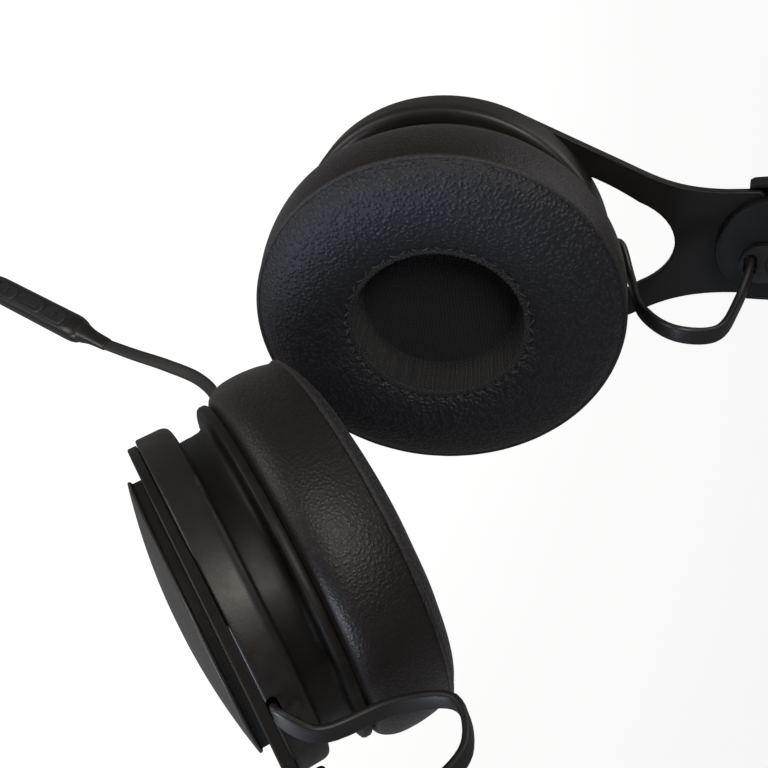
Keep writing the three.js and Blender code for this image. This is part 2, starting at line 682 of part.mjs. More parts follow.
function buildRemote(parent) {
  const remote = remoteGroup();
  parent.add(remote);
  const down = new THREE.Vector3(0, 1, 0);
  const wide = new THREE.Vector3(1, 0, 0);
  const housing = new THREE.Group();
  housing.position.y = RELIEF_LENGTH + GAP;
  remote.add(housing);
  const windows = Object.values(BUTTON_SPANS).map(([low, high]) => plate(
    capsule(BUTTON_HALF_WIDTH + GAP, low - GAP, high + GAP), BOARD_TOP, REMOTE_DEPTH, 5));
  add(housing, 'remote_back', remoteHalf(-1), mattePlastic);
  add(housing, 'remote_front', cut(remoteHalf(1), ...windows), mattePlastic);
  const boardWidth = REMOTE_WIDTH - 2 * REMOTE_WALL - 2 * GAP;
  add(housing, 'remote_board', block([boardWidth, REMOTE_LENGTH - POCKET_ENDS - 1, BOARD_THICKNESS],
    [0, REMOTE_LENGTH / 2, BOARD_TOP - BOARD_THICKNESS / 2]), boardFinish);
  for (const [name, [low, high]] of Object.entries(BUTTON_SPANS)) {
    add(housing, `remote_button_${name}`, plate(capsule(BUTTON_HALF_WIDTH, low, high),
      BOARD_TOP + GAP + BUTTON_TRAVEL, REMOTE_DEPTH / 2 + 0.3, 5), softPlastic);
  }
  const shoulder = down.clone().multiplyScalar(RELIEF_LENGTH);
  add(remote, 'remote_relief_top', relief(shoulder, down.clone().negate(), wide), softPlastic);
  const foot = RELIEF_LENGTH + REMOTE_LENGTH + 2 * GAP;
  add(remote, 'remote_relief_end', relief(down.clone().multiplyScalar(foot), down, wide), softPlastic);
  return foot + RELIEF_LENGTH;
}

function hank() {
  const outer = HANK_FOLD + HANK_TURNS_ACROSS * TURN_PITCH;
  const shape = capsule(outer, -HANK_RUN - 2 * outer, 0);
  const depth = HANK_TURNS_DEEP * DEEP_PITCH;
  return plate(shape, -depth / 2, depth / 2, 8);
}

function tie() {
  const inner = [HANK_FOLD + HANK_TURNS_ACROSS * TURN_PITCH + GAP, HANK_TURNS_DEEP * DEEP_PITCH / 2 + GAP];
  const outer = inner.map((half) => half + TIE_THICKNESS);
  const loop = ([half, depth], corner) => (
    softRectangle(half, -depth, depth, corner).map((pair) => new THREE.Vector2(...pair)));
  const band = new THREE.Shape(loop(outer, TIE_THICKNESS));
  band.holes.push(new THREE.Path(loop(inner, TIE_CORNER).reverse()));
  return plate(band, -TIE_WIDTH / 2, TIE_WIDTH / 2).rotateX(Math.PI / 2);
}

// Right-angle audio plug: Y down its grip, pin along X.
function buildPlug(parent, root) {
  const plug = new THREE.Group();
  plug.position.copy(root);
  parent.add(plug);
  const down = new THREE.Vector3(0, -1, 0);
  const wide = new THREE.Vector3(1, 0, 0);
  const shoulder = down.clone().multiplyScalar(RELIEF_LENGTH);
  add(plug, 'plug_relief', relief(shoulder, down.clone().negate(), wide), softPlastic);
  const top = -RELIEF_LENGTH - GAP;
  const grip = plate(capsule(PLUG_HALF_WIDTH, top - PLUG_LENGTH, top + PLUG_HALF_WIDTH),
    -PLUG_HALF_WIDTH, PLUG_HALF_WIDTH, 6);
  const trim = block([3 * PLUG_HALF_WIDTH, 2 * PLUG_HALF_WIDTH, 3 * PLUG_HALF_WIDTH],
    [0, top + PLUG_HALF_WIDTH, 0]);
  add(plug, 'plug_body', cut(grip, trim), mattePlastic);
  const base = PLUG_HALF_WIDTH + GAP;
  const shoulderEnd = base + COLLAR_LENGTH;
  const tip = shoulderEnd + PIN_LENGTH;
  const pin = lathe([
    [0, base], [COLLAR_RADIUS, base], [COLLAR_RADIUS, shoulderEnd], [JACK_RADIUS, shoulderEnd],
    [JACK_RADIUS, tip - 3.6], [JACK_RADIUS - 0.5, tip - 2.9], [JACK_RADIUS - 0.1, tip - 1.7],
    [0.5, tip], [0, tip],
  ], 16);
  pin.rotateY(Math.PI / 2).translate(0, top - PLUG_LENGTH + PLUG_HALF_WIDTH, 0);
  add(plug, 'plug_pin', pin, steel);
}

function buildCord(parent, leftSide) {
  add(leftSide, 'cord_gland', gland(), softPlastic);
  const [reach, aim, height] = GLAND_BEND[GLAND_BEND.length - 1];
  const rise = Math.sqrt(1 - aim * aim);
  const inSide = (step) => leftSide.localToWorld(new THREE.Vector3(0,
    -DRUM_RADIUS - GAP + reach + aim * step, height + rise * step));
  const point = (x, y, z) => new THREE.Vector3(x, y, z);
  add(parent, 'cord_upper', tube([
    inSide(GAP), inSide(4), point(6, -41, -18), point(-3, -48, -17.5), point(-10, -56, -17.2),
    point(-13.5, -66, -16.9), point(-14.6, -80, -16.6), point(-15, -95, -16.6),
    REMOTE_TOP.clone().addScaledVector(REMOTE_AIM, -GAP),
  ], 16), cable);

  const length = buildRemote(parent);
  const foot = REMOTE_TOP.clone().addScaledVector(REMOTE_AIM, length + GAP);
  add(parent, 'cord_lower', tube([
    foot, foot.clone().addScaledVector(REMOTE_AIM, 6), point(-13.2, -184, -1.9),
    HANK_TOP.clone().setY(HANK_TOP.y + GAP),
  ], 5), cable);
  add(parent, 'cord_hank', hank().translate(...HANK_TOP.toArray()), cable);
  const outer = HANK_FOLD + HANK_TURNS_ACROSS * TURN_PITCH;
  const centre = HANK_TOP.y - HANK_RUN / 2 - outer;
  add(parent, 'cord_tie', tie().translate(HANK_TOP.x, centre, HANK_TOP.z), fabric);
  const bottom = HANK_TOP.clone().setY(HANK_TOP.y - HANK_RUN - 2 * outer - GAP);
  const root = bottom.clone().setY(bottom.y - TAIL_LENGTH);
  add(parent, 'cord_tail', tube([bottom, bottom.clone().lerp(root, 0.5), root], 2), cable);
  buildPlug(parent, root.setY(root.y - GAP));
}

// ---------- assembly ----------
const model = new THREE.Group();
const headset = new THREE.Group();
const left = earSide('left', 1, -1, 0, 0);
const right = earSide('right', -1, 1, RIGHT_PITCH, RIGHT_YAW);
headset.add(left.arm, right.arm);
headset.updateMatrixWorld(true);
add(headset, 'band_shell', bandShell(left.side, right.side), mattePlastic);
add(headset, 'spring_band', springBand(left.side, right.side), steel);
add(headset, 'crown_pad', crownPad(left.side, right.side), softPlastic);
add(headset, 'band_liner_left', bandLiner(left.side), softPlastic);
add(headset, 'band_liner_right', bandLiner(right.side), softPlastic);
buildCord(headset, left.side);

headset.rotation.x = Math.PI / 2;
headset.position.z = -(CROWN_HEIGHT - DRUM_BACK - PAD_DEPTH);
model.add(headset);
model.updateMatrixWorld(true);
export default model;
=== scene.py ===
"""Looks of the wired on-ear headset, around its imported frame. Metres, +Z up."""
import json
import math

import bmesh
import bpy
from mathutils import Matrix, Vector, noise


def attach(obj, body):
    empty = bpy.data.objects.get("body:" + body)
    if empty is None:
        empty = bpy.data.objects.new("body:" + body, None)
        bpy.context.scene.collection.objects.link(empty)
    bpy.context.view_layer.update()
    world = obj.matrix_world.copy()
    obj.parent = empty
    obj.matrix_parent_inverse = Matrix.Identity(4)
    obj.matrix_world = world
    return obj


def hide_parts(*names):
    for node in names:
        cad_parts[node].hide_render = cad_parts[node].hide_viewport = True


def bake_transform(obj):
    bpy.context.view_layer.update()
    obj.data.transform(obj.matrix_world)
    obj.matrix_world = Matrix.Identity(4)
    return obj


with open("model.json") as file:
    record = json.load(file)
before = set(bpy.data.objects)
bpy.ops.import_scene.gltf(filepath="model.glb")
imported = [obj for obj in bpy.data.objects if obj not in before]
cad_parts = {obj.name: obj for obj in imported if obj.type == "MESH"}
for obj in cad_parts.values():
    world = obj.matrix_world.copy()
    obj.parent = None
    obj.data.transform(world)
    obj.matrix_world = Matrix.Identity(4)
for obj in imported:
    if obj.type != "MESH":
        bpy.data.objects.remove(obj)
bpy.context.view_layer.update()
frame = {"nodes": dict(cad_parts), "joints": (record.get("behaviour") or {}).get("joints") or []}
joints = {joint["name"]: joint for joint in frame["joints"]}
scene = bpy.context.scene
MM = 0.001

# ---------- sizes, as the frame has them, in millimetres unless they say metres ----------
X, Y, Z = Vector((1, 0, 0)), Vector((0, 1, 0)), Vector((0, 0, 1))
GAP = 0.3
PIVOT_HEIGHT = 8.9
PIN_BORE = 1.1
RIGHT_TURN = 4.0                     # degrees the right cup rests turned
BAND_STRAIGHT = 86.0
CROWN_HEIGHT = 0.00565               # metres from the origin up to the band's centre line
LEAD_WIDTH = 3.2
LEAD_THICKNESS = 1.2
RELIEF_LENGTH = 9.0
REMOTE_LENGTH = 46.0
REMOTE_WIDTH = 7.6
REMOTE_DEPTH = 6.0
KEY_FLOOR = 1.82                     # clears the remote's board when a key is pressed
HANK_TOP = Vector((-0.012, 0.002, -0.32835))          # metres
HANK_RUN = 40.0
HANK_FOLD = 9.6
TURN_PITCH = 1.5
DEEP_PITCH = 3.4
HANK_OUTER = HANK_FOLD + 3 * TURN_PITCH
HANK_HALF_DEPTH = 1.5 * DEEP_PITCH
TAIL_LENGTH = 11.0
PLUG_GRIP_HALF = 3.65
PLUG_PIN_LENGTH = 14
PLUG_COLLAR = 1.6
CORD_SIDE = {"left": -1, "right": 1}                  # where each arm's lead leaves, along its X


# ---------- camera ----------
CAMERA_SPOT = (0.098576, -0.095309, -0.014248)
CAMERA_ACROSS = Vector((-0.62968, 0.22068, 0.74485)).normalized()
CAMERA_BACK = Vector((0.57737, -0.50856, 0.63876)).normalized()


def make_camera():
    up = CAMERA_BACK.cross(CAMERA_ACROSS).normalized()
    camera = bpy.data.objects.new("camera", bpy.data.cameras.new("camera"))
    camera.data.lens = 46.875
    camera.data.sensor_width = 36
    camera.data.clip_start = 0.01
    axes = Matrix((CAMERA_ACROSS, up, CAMERA_BACK)).transposed().to_4x4()
    camera.matrix_world = Matrix.Translation(CAMERA_SPOT) @ axes
    scene.collection.objects.link(camera)
    scene.camera = camera


make_camera()


# ---------- side and cup frames ----------
def basis(x, y, z, origin):
    """A frame in millimetres, from its axes and an origin in metres."""
    turn = Matrix((x.normalized(), y.normalized(), z.normalized())).transposed().to_4x4()
    return Matrix.Translation(origin) @ turn @ Matrix.Scale(MM, 4)


def heading(place, axis):
    """Which way a frame's own direction points in the scene."""
    return (place.to_3x3() @ axis).normalized()


def side_frame(name):
    """An arm's frame: Y up the arm, Z towards the cup."""
    x = Vector(joints[f"{name}_tilt"]["axis"])
    y = -Vector(joints[f"{name}_slide"]["axis"])
    z = x.cross(y)
    pivot = Vector(joints[f"{name}_tilt"]["pos_m"])
    return basis(x, y, z, pivot - z.normalized() * PIVOT_HEIGHT * MM)


def cup_frame(name):
    """A cup's frame at rest, turned about the gimbal's pins."""
    x = Vector(joints[f"{name}_tilt"]["axis"])
    y = Vector(joints[f"{name}_turn"]["axis"])
    turn = Matrix.Rotation(math.radians(RIGHT_TURN if name == "right" else 0), 4, y)
    z = turn @ x.cross(y)
    x = turn @ x
    pivot = Vector(joints[f"{name}_tilt"]["pos_m"])
    return basis(x, y, z, pivot - z.normalized() * PIVOT_HEIGHT * MM)


SIDES = {name: side_frame(name) for name in ("left", "right")}
CUPS = {name: cup_frame(name) for name in ("left", "right")}


# ---------- mesh helpers ----------
def mesh_piece(name, points, faces, place=None, material=None, uvs=None, sharp=35):
    mesh = bpy.data.meshes.new(name)
    place = place or Matrix.Identity(4)
    mesh.from_pydata([place @ Vector(p) for p in points], [], faces)
    if uvs:
        layer = mesh.uv_layers.new(name="surface")
        for loop, uv in zip(layer.data, uvs):
            loop.uv = uv
    mesh.validate()
    mesh.shade_smooth()
    mesh.set_sharp_from_angle(angle=math.radians(sharp))
    piece = bpy.data.objects.new(name, mesh)
    scene.collection.objects.link(piece)
    if material:
        mesh.materials.append(material)
    return piece


def outward(piece):
    """Turns the faces out."""
    work = bmesh.new()
    work.from_mesh(piece.data)
    bmesh.ops.recalc_face_normals(work, faces=work.faces)
    work.to_mesh(piece.data)
    work.free()
    return piece


def soften(piece, width, segments=2, angle=30):
    """Rounds the edges of a moulded piece."""
    bevel = piece.modifiers.new("edges", "BEVEL")
    bevel.width = width * MM
    bevel.segments = segments
    bevel.limit_method = "ANGLE"
    bevel.angle_limit = math.radians(angle)
    bevel.harden_normals = False
    return piece


def place_piece(piece, body, nodes=()):
    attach(piece, body)
    if nodes:
        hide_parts(*nodes)
    return piece


def rounded(profile, radius, steps=3):
    """Rounds the corners of an open [radius, height] profile, where the legs leave room."""
    result = [profile[0]]
    for before, corner, after in zip(profile, profile[1:], profile[2:]):
        a, c, b = Vector(before), Vector(corner), Vector(after)
        legs = (a - c).length, (b - c).length
        turn = (c - a).angle(b - c, 0)
        cut = min(radius, 0.45 * legs[0], 0.45 * legs[1])
        if turn < math.radians(8) or cut < 0.02:
            result.append(corner)
            continue
        start = c + (a - c).normalized() * cut
        end = c + (b - c).normalized() * cut
        for i in range(steps + 1):
            t = i / steps
            result.append(tuple(start * (1 - t) ** 2 + c * 2 * t * (1 - t) + end * t ** 2))
    result.append(profile[-1])
    return result


def lathe(name, profile, place, material, steps=96, closed=False, shift=None, reference=30.0):
    """Revolves [radius, height] pairs about the frame's Z; shift moves a point by its place."""
    rings = profile + [profile[0]] if closed else profile
    lengths = [0.0]
    for a, b in zip(rings, rings[1:]):
        lengths.append(lengths[-1] + math.dist(a, b))
    points, index = [], []
    for row, (radius, height) in enumerate(rings[:-1] if closed else rings):
        if radius < 1e-6:
            index.append([len(points)] * steps)
            points.append(Vector((0, 0, height)))
            continue
        index.append(list(range(len(points), len(points) + steps)))
        for angle in full_turn(steps):
            point = Vector((radius * math.cos(angle), radius * math.sin(angle), height))
            points.append(shift(point, angle, lengths[row]) if shift else point)
    if closed:
        index.append(index[0])
    faces, uvs = [], []
    for row in range(len(rings) - 1):
        for i in range(steps):
            j = (i + 1) % steps
            corners = [(index[row][i], i, row), (index[row][j], i + 1, row),
                       (index[row + 1][j], i + 1, row + 1), (index[row + 1][i], i, row + 1)]
            unique = []
            for corner in corners:
                if corner[0] not in [kept[0] for kept in unique]:
                    unique.append(corner)
            if len(unique) < 3:
                continue
            faces.append([corner[0] for corner in unique])
            uvs += [(2 * math.pi * c[1] / steps * reference, lengths[c[2]]) for c in unique]
    return outward(mesh_piece(name, points, faces, place, material, uvs))


def loft(name, rings, place, material, caps=True, sharp=35):
    """Skins a solid through rings of equal count: millimetres with a place, metres without."""
    count = len(rings[0])
    unit = 1 if place else 1 / MM
    points = [p for ring in rings for p in ring]
    around = [0.0]
    for k in range(count):
        step = Vector(rings[0][k]) - Vector(rings[0][(k + 1) % count])
        around.append(around[-1] + step.length * unit)
    along = [0.0]
    for a, b in zip(rings, rings[1:]):
        along.append(along[-1] + (Vector(a[0]) - Vector(b[0])).length * unit)
    faces, uvs = [], []
    for i in range(len(rings) - 1):
        for k in range(count):
            n = (k + 1) % count
            faces.append([i * count + k, i * count + n, (i + 1) * count + n, (i + 1) * count + k])
            uvs += [(around[k], along[i]), (around[k + 1], along[i]),
                    (around[k + 1], along[i + 1]), (around[k], along[i + 1])]
    if caps:
        last = (len(rings) - 1) * count
        faces.append(list(range(count))[::-1])
        faces.append([last + k for k in range(count)])
        uvs += [(around[k], 0) for k in range(count)][::-1]
        uvs += [(around[k], along[-1]) for k in range(count)]
    return outward(mesh_piece(name, points, faces, place, material, uvs, sharp))


def arc(centre, radius, start, end, steps):
    """Points on an arc, angles in degrees."""
    angles = [math.radians(start + (end - start) * i / steps) for i in range(steps + 1)]
    return [(centre[0] + radius * math.cos(a), centre[1] + radius * math.sin(a)) for a in angles]


def full_turn(count):
    """Even angles once round, in radians."""
    return [2 * math.pi * i / count for i in range(count)]


def ellipse(centre, across, through, count):
    return [(centre[0] + across * math.cos(a), centre[1] + through * math.sin(a))
            for a in full_turn(count)]


def rounded_square(count, power, lower_power=None):
    """A unit square's outline; the higher the power, the squarer its corners."""
    points = []
    for angle in full_turn(count):
        c, s = math.cos(angle), math.sin(angle)
        used = lower_power if lower_power and s < 0 else power
        reach = (abs(c) ** used + abs(s) ** used) ** (-1 / used)
        points.append((c * reach, s * reach))
    return points


def bezier(a, b, c, d, steps):
    """Points after the first on a curve with two handles."""
    a, b, c, d = Vector(a), Vector(b), Vector(c), Vector(d)
    return [tuple(a * (1 - t) ** 3 + b * 3 * t * (1 - t) ** 2 + c * 3 * t * t * (1 - t) + d * t ** 3)
            for t in [i / steps for i in range(1, steps + 1)]]


def capsule(half, low, high, steps=14, x=0.0):
    """Outline of a slot shape along Y."""
    return (arc((x, high - half), half, 0, 180, steps) + arc((x, low + half), half, 180, 360, steps))


def extrude(name, outline, bottom, top, place, material, holes=(), round_edges=0.0):
    """A flat piece from an outline, with rounded rims."""
    work = bmesh.new()
    loops = [outline, *holes]
    edges = []
    for loop in loops:
        verts = [work.verts.new((x, y, bottom)) for x, y in loop]
        edges += [work.edges.new((a, b)) for a, b in zip(verts, verts[1:] + verts[:1])]
    bmesh.ops.triangle_fill(work, use_beauty=True, edges=edges, use_dissolve=True)
    base = work.faces[:]
    made = bmesh.ops.extrude_face_region(work, geom=base)
    moved = [v for v in made["geom"] if isinstance(v, bmesh.types.BMVert)]
    for vert in moved:
        vert.co.z = top
    bmesh.ops.recalc_face_normals(work, faces=work.faces)
    mesh = bpy.data.meshes.new(name)
    work.to_mesh(mesh)
    work.free()
    mesh.transform(place)
    mesh.shade_smooth()
    mesh.set_sharp_from_angle(angle=math.radians(35))
    piece = bpy.data.objects.new(name, mesh)
    scene.collection.objects.link(piece)
    mesh.materials.append(material)
    if place.determinant() < 0:
        mesh.flip_normals()
    if round_edges:
        soften(piece, round_edges, 3, 40)
    return piece


def joined(name, pieces):
    """One object from several."""
    bpy.ops.object.select_all(action="DESELECT")
    for piece in pieces:
        piece.select_set(True)
    bpy.context.view_layer.objects.active = pieces[0]
    bpy.ops.object.join()
    pieces[0].name = name
    return pieces[0]


def bake(piece):
    """Applies the piece's modifiers to its mesh."""
    bpy.context.view_layer.update()
    evaluated = piece.evaluated_get(bpy.context.evaluated_depsgraph_get())
    mesh = bpy.data.meshes.new_from_object(evaluated)
    old = piece.data
    piece.modifiers.clear()
    piece.data = mesh
    mesh.name = old.name
    bpy.data.meshes.remove(old)


def carve(piece, tools):
    """Cuts the tools out of a piece."""
    for tool in tools:
        cut = piece.modifiers.new("cut", "BOOLEAN")
        cut.object = tool
        cut.operation = "DIFFERENCE"
        cut.solver = "EXACT"
    bake(piece)
    for tool in tools:
        bpy.data.objects.remove(tool)
    piece.data.set_sharp_from_angle(angle=math.radians(40))
    return piece


def spline(points, steps):
    """A smooth curve through the points, with even steps between each two."""
    points = [Vector(p) for p in points]
    first = points[0] * 2 - points[1]
    last = points[-1] * 2 - points[-2]
    padded = [first, *points, last]
    result = []
    for p0, p1, p2, p3 in zip(padded, padded[1:], padded[2:], padded[3:]):
        t1 = (p1 - p0).length ** 0.5
        t2 = t1 + (p2 - p1).length ** 0.5
        t3 = t2 + (p3 - p2).length ** 0.5
        for i in range(steps):
            t = t1 + (t2 - t1) * i / steps
            a1 = p0 * ((t1 - t) / t1) + p1 * (t / t1)
            a2 = p1 * ((t2 - t) / (t2 - t1)) + p2 * ((t - t1) / (t2 - t1))
            a3 = p2 * ((t3 - t) / (t3 - t2)) + p3 * ((t - t2) / (t3 - t2))
            b1 = a1 * ((t2 - t) / t2) + a2 * (t / t2)
            b2 = a2 * ((t3 - t) / (t3 - t1)) + a3 * ((t - t1) / (t3 - t1))
            result.append(b1 * ((t2 - t) / (t2 - t1)) + b2 * ((t - t1) / (t2 - t1)))
    return result + [points[-1]]


def length_of(points):
    return sum((b - a).length for a, b in zip(points, points[1:]))


def tangents(points):
    ends = [points[0] * 2 - points[1], *points, points[-1] * 2 - points[-2]]
    return [(b - a).normalized() for a, b in zip(ends, ends[2:])]


def flat_section(width, thickness, steps=3):
    """A flat cable's section, with rounded edges, as [across, through] pairs."""
    half = width / 2 - thickness / 2
    return (arc((half, 0), thickness / 2, -90, 90, 2 * steps)
            + arc((-half, 0), thickness / 2, 90, 270, 2 * steps))


def ribbon(name, points, wides, material, width=LEAD_WIDTH, thickness=LEAD_THICKNESS):
    """A flat cable along points in metres, its width along wides."""
    section = flat_section(width * MM, thickness * MM)
    rings = []
    for point, along, hint in zip(points, tangents(points), wides):
        wide = (hint - along * hint.dot(along)).normalized()
        thin = along.cross(wide)
        rings.append([point + wide * a + thin * b for a, b in section])
    return loft(name, rings, None, material, sharp=60)


# ---------- materials ----------
class Surface:
    """A node material around one shader."""

    def __init__(self, name, color, roughness, **sockets):
        self.material = bpy.data.materials.new(name)
        self.material.use_nodes = True
        self.tree = self.material.node_tree
        self.shader = self.tree.nodes["Principled BSDF"]
        self.color = color
        self.set("Base Color", (*color, 1))
        self.set("Roughness", roughness)
        for socket, value in sockets.items():
            self.set(socket.replace("_", " "), value)
        self.bump = None

    def set(self, socket, value):
        self.shader.inputs[socket].default_value = value

    def node(self, kind, inputs=None, **settings):
        node = self.tree.nodes.new(kind)
        for key, value in settings.items():
            setattr(node, key, value)
        for socket, value in (inputs or {}).items():
            if isinstance(value, bpy.types.NodeSocket):
                self.tree.links.new(value, node.inputs[socket])
            else:
                node.inputs[socket].default_value = value
        return node

    def place(self, stretch=(1, 1, 1), uv=False):
        source = self.node("ShaderNodeTexCoord").outputs["UV" if uv else "Object"]
        return self.node("ShaderNodeMapping", {"Vector": source, "Scale": stretch}).outputs[0]

    def math(self, operation, *values):
        return self.node("ShaderNodeMath", dict(enumerate(values)), operation=operation).outputs[0]

    def shaken(self, x, y, uv=False):
        """The surface's place, shifted by x and y."""
        shift = self.node("ShaderNodeCombineXYZ", {"X": x, "Y": y}).outputs[0]
        return self.node("ShaderNodeVectorMath", {0: self.place(uv=uv), 1: shift},
                         operation="ADD").outputs[0]

    def noise(self, scale, detail=3, stretch=(1, 1, 1), uv=False, rough=0.5):
        return self.node("ShaderNodeTexNoise", {"Vector": self.place(stretch, uv), "Scale": scale,
                                                "Detail": detail, "Roughness": rough}).outputs["Fac"]

    def span(self, value, low, high, to_low=0.0, to_high=1.0):
        return self.node("ShaderNodeMapRange", {"Value": value, "From Min": low, "From Max": high,
                                                "To Min": to_low, "To Max": to_high}).outputs[0]

    def blend(self, factor, a, b):
        mix = self.node("ShaderNodeMix", data_type="RGBA")
        for socket, value in (("Factor", factor), ("A", a), ("B", b)):
            target = [s for s in mix.inputs if s.name == socket and s.enabled][0]
            if isinstance(value, bpy.types.NodeSocket):
                self.tree.links.new(value, target)
            else:
                target.default_value = value if socket == "Factor" else (*value, 1)
        return [s for s in mix.outputs if s.enabled][0]

    def link(self, value, socket):
        self.tree.links.new(value, self.shader.inputs[socket])

    def raise_by(self, height, distance, strength=1.0):
        """Adds bump of so many metres on top of what is there."""
        inputs = {"Height": height, "Distance": distance, "Strength": strength}
        if self.bump:
            inputs["Normal"] = self.bump
        self.bump = self.node("ShaderNodeBump", inputs).outputs["Normal"]
        self.link(self.bump, "Normal")

    def vary(self, lift, scale=70, low=0.35, high=0.65):
        """Mottles the colour by so much, in soft patches."""
        lighter = tuple(min(1, c * lift) for c in self.color)
        patch = self.span(self.noise(scale, 4), low, high)
        return self.blend(patch, self.color, lighter)

    def wear_and_edge_highlight(self, color, worn_and_lit_edge, low=0.53, high=0.62):
        """Lightens the outward edges: partly handling wear, partly a painted highlight where the edges
        catch the light.
        """
        # Edges are lightened by pointiness, broken up by noise: part wear, part painted edge highlight.
        point = self.node("ShaderNodeNewGeometry").outputs["Pointiness"]
        broken = self.math("MULTIPLY", self.span(point, low, high),
                           self.span(self.noise(500, 3), 0.3, 0.7))
        return self.blend(broken, color, worn_and_lit_edge)


def scaled(color, factor):
    return tuple(c * factor for c in color)


def plastic(name, color, roughness, grain=0.00002, worn_and_lit_edge=None, lift=1.35, gloss=0.4, **sockets):
    """Moulded plastic: mottled, lightly scuffed, its edges lightened where an edge colour is given,
    partly as wear and partly as a painted highlight.
    """
    surface = Surface(name, color, roughness, **sockets)
    surface.set("Specular IOR Level", gloss)
    tint = surface.vary(lift)
    if worn_and_lit_edge:
        tint = surface.wear_and_edge_highlight(tint, worn_and_lit_edge)
    surface.link(tint, "Base Color")
    scuffs = surface.span(surface.noise(260, 5, (1, 1, 0.35)), 0.3, 0.7,
                          roughness - 0.06, roughness + 0.08)
    surface.link(scuffs, "Roughness")
    surface.raise_by(surface.noise(4200, 2), grain, 0.6)
    surface.raise_by(surface.noise(90, 2), 0.00004, 0.25)
    return surface.material


def brushed(name, color, roughness, **sockets):
    """Metal with fine lines along X."""
    surface = Surface(name, color, roughness, Metallic=1.0, **sockets)
    lines = surface.noise(900, 3, (0.05, 1, 1))
    surface.link(surface.blend(surface.span(lines, 0.3, 0.7), color, scaled(color, 0.75)), "Base Color")
    surface.link(surface.span(lines, 0.3, 0.7, roughness - 0.05, roughness + 0.1), "Roughness")
    surface.raise_by(lines, 0.000008, 0.5)
    return surface.material


def leather(name, color, grain_scale, depth, roughness=0.5, pull=0.35):
    """Leatherette: soft pebbles, drawn out across the ring where the skin is pulled, with painted shade
    in the hollows between the pebbles.
    """
    surface = Surface(name, color, roughness, Sheen_Weight=0.04, Sheen_Roughness=0.5)
    surface.set("Specular IOR Level", 0.34)
    warp = surface.noise(grain_scale * 0.5, 3)
    shaken = surface.shaken(surface.span(warp, 0, 1, 0, 0.0009), surface.span(warp, 0, 1, 0.0007, 0))
    pebble = surface.node("ShaderNodeTexVoronoi", {"Vector": shaken, "Scale": grain_scale,
                                                   "Smoothness": 0.3},
                          feature="SMOOTH_F1").outputs["Distance"]
    round_top = surface.span(pebble, 0.1, 0.62, 1, 0)
    fine = surface.noise(grain_scale * 3.1, 3)
    pulled = surface.noise(1.1, 2, (1.0, 0.12, 1), uv=True)
    patches = surface.vary(1.35, 55)
    # The pebbles' tops take the mottled colour and the hollows between them a darker copy: painted shade
    # in the grain's creases.
    surface.link(surface.blend(round_top, scaled(color, 0.62), patches), "Base Color")
    surface.link(surface.span(round_top, 0, 1, roughness + 0.1, roughness - 0.04), "Roughness")
    surface.raise_by(round_top, depth, 0.8)
    surface.raise_by(pulled, 0.00014, pull)
    surface.raise_by(fine, 0.00003, 0.5)
    return surface.material


def knit(name, color, light, rib, row, height=0.00022):
    """Knitted cloth: columns of stitches a rib wide and a row high, in millimetres, the loops painted
    light as a highlight and the gaps between them dark as shade.
    """
    surface = Surface(name, color, 0.9, Sheen_Weight=0.08, Sheen_Roughness=0.6)
    surface.set("Specular IOR Level", 0.2)
    wander = surface.shaken(surface.span(surface.noise(0.7, 2, uv=True), 0, 1, -0.2, 0.2),
                            surface.span(surface.noise(0.5, 2, uv=True), 0, 1, -0.25, 0.25), uv=True)
    split = surface.node("ShaderNodeSeparateXYZ", {"Vector": wander})

    def wave(value, size, phase=0.0):
        return surface.math("SINE", surface.math("MULTIPLY_ADD", value, 2 * math.pi / size, phase))

    across = wave(split.outputs["X"], rib)
    lean = surface.math("MULTIPLY_ADD", across, row * 0.3, split.outputs["Y"])
    upward = surface.span(wave(lean, row), -0.6, 1, 0.15, 1)
    column = surface.span(wave(split.outputs["X"], rib / 2, 1.2), -1, 1, 0.25, 1)
    loops = surface.math("MULTIPLY", column, upward)
    fuzz = surface.noise(2.6, 3, uv=True)
    lit = surface.math("MULTIPLY", loops, surface.span(fuzz, 0.3, 0.7, 0.35, 1))
    # Painted highlight on the loops' crests in the light colour, painted shade between them in the dark
    # base colour.
    surface.link(surface.blend(lit, color, light), "Base Color")
    surface.raise_by(loops, height, 0.9)
    surface.raise_by(fuzz, 0.0001, 0.5)
    return surface.material


def cable_jacket(name, color):
    """A cable's smooth skin, faintly ribbed along its length."""
    surface = Surface(name, color, 0.46)
    ribs = surface.noise(1.4, 2, (1, 0.03, 1), uv=True)
    surface.link(surface.vary(1.3, 130), "Base Color")
    surface.link(surface.span(ribs, 0.3, 0.7, 0.4, 0.54), "Roughness")
    surface.raise_by(ribs, 0.00002, 0.5)
    return surface.material


def speckled(name, color, other, roughness, scale, **sockets):
    """A skin in two colours."""
    surface = Surface(name, color, roughness, **sockets)
    specks = surface.span(surface.noise(scale, 3), 0.45, 0.6)
    surface.link(surface.blend(specks, color, other), "Base Color")
    surface.raise_by(surface.noise(scale * 2, 2), 0.00003, 0.4)
    return surface.material


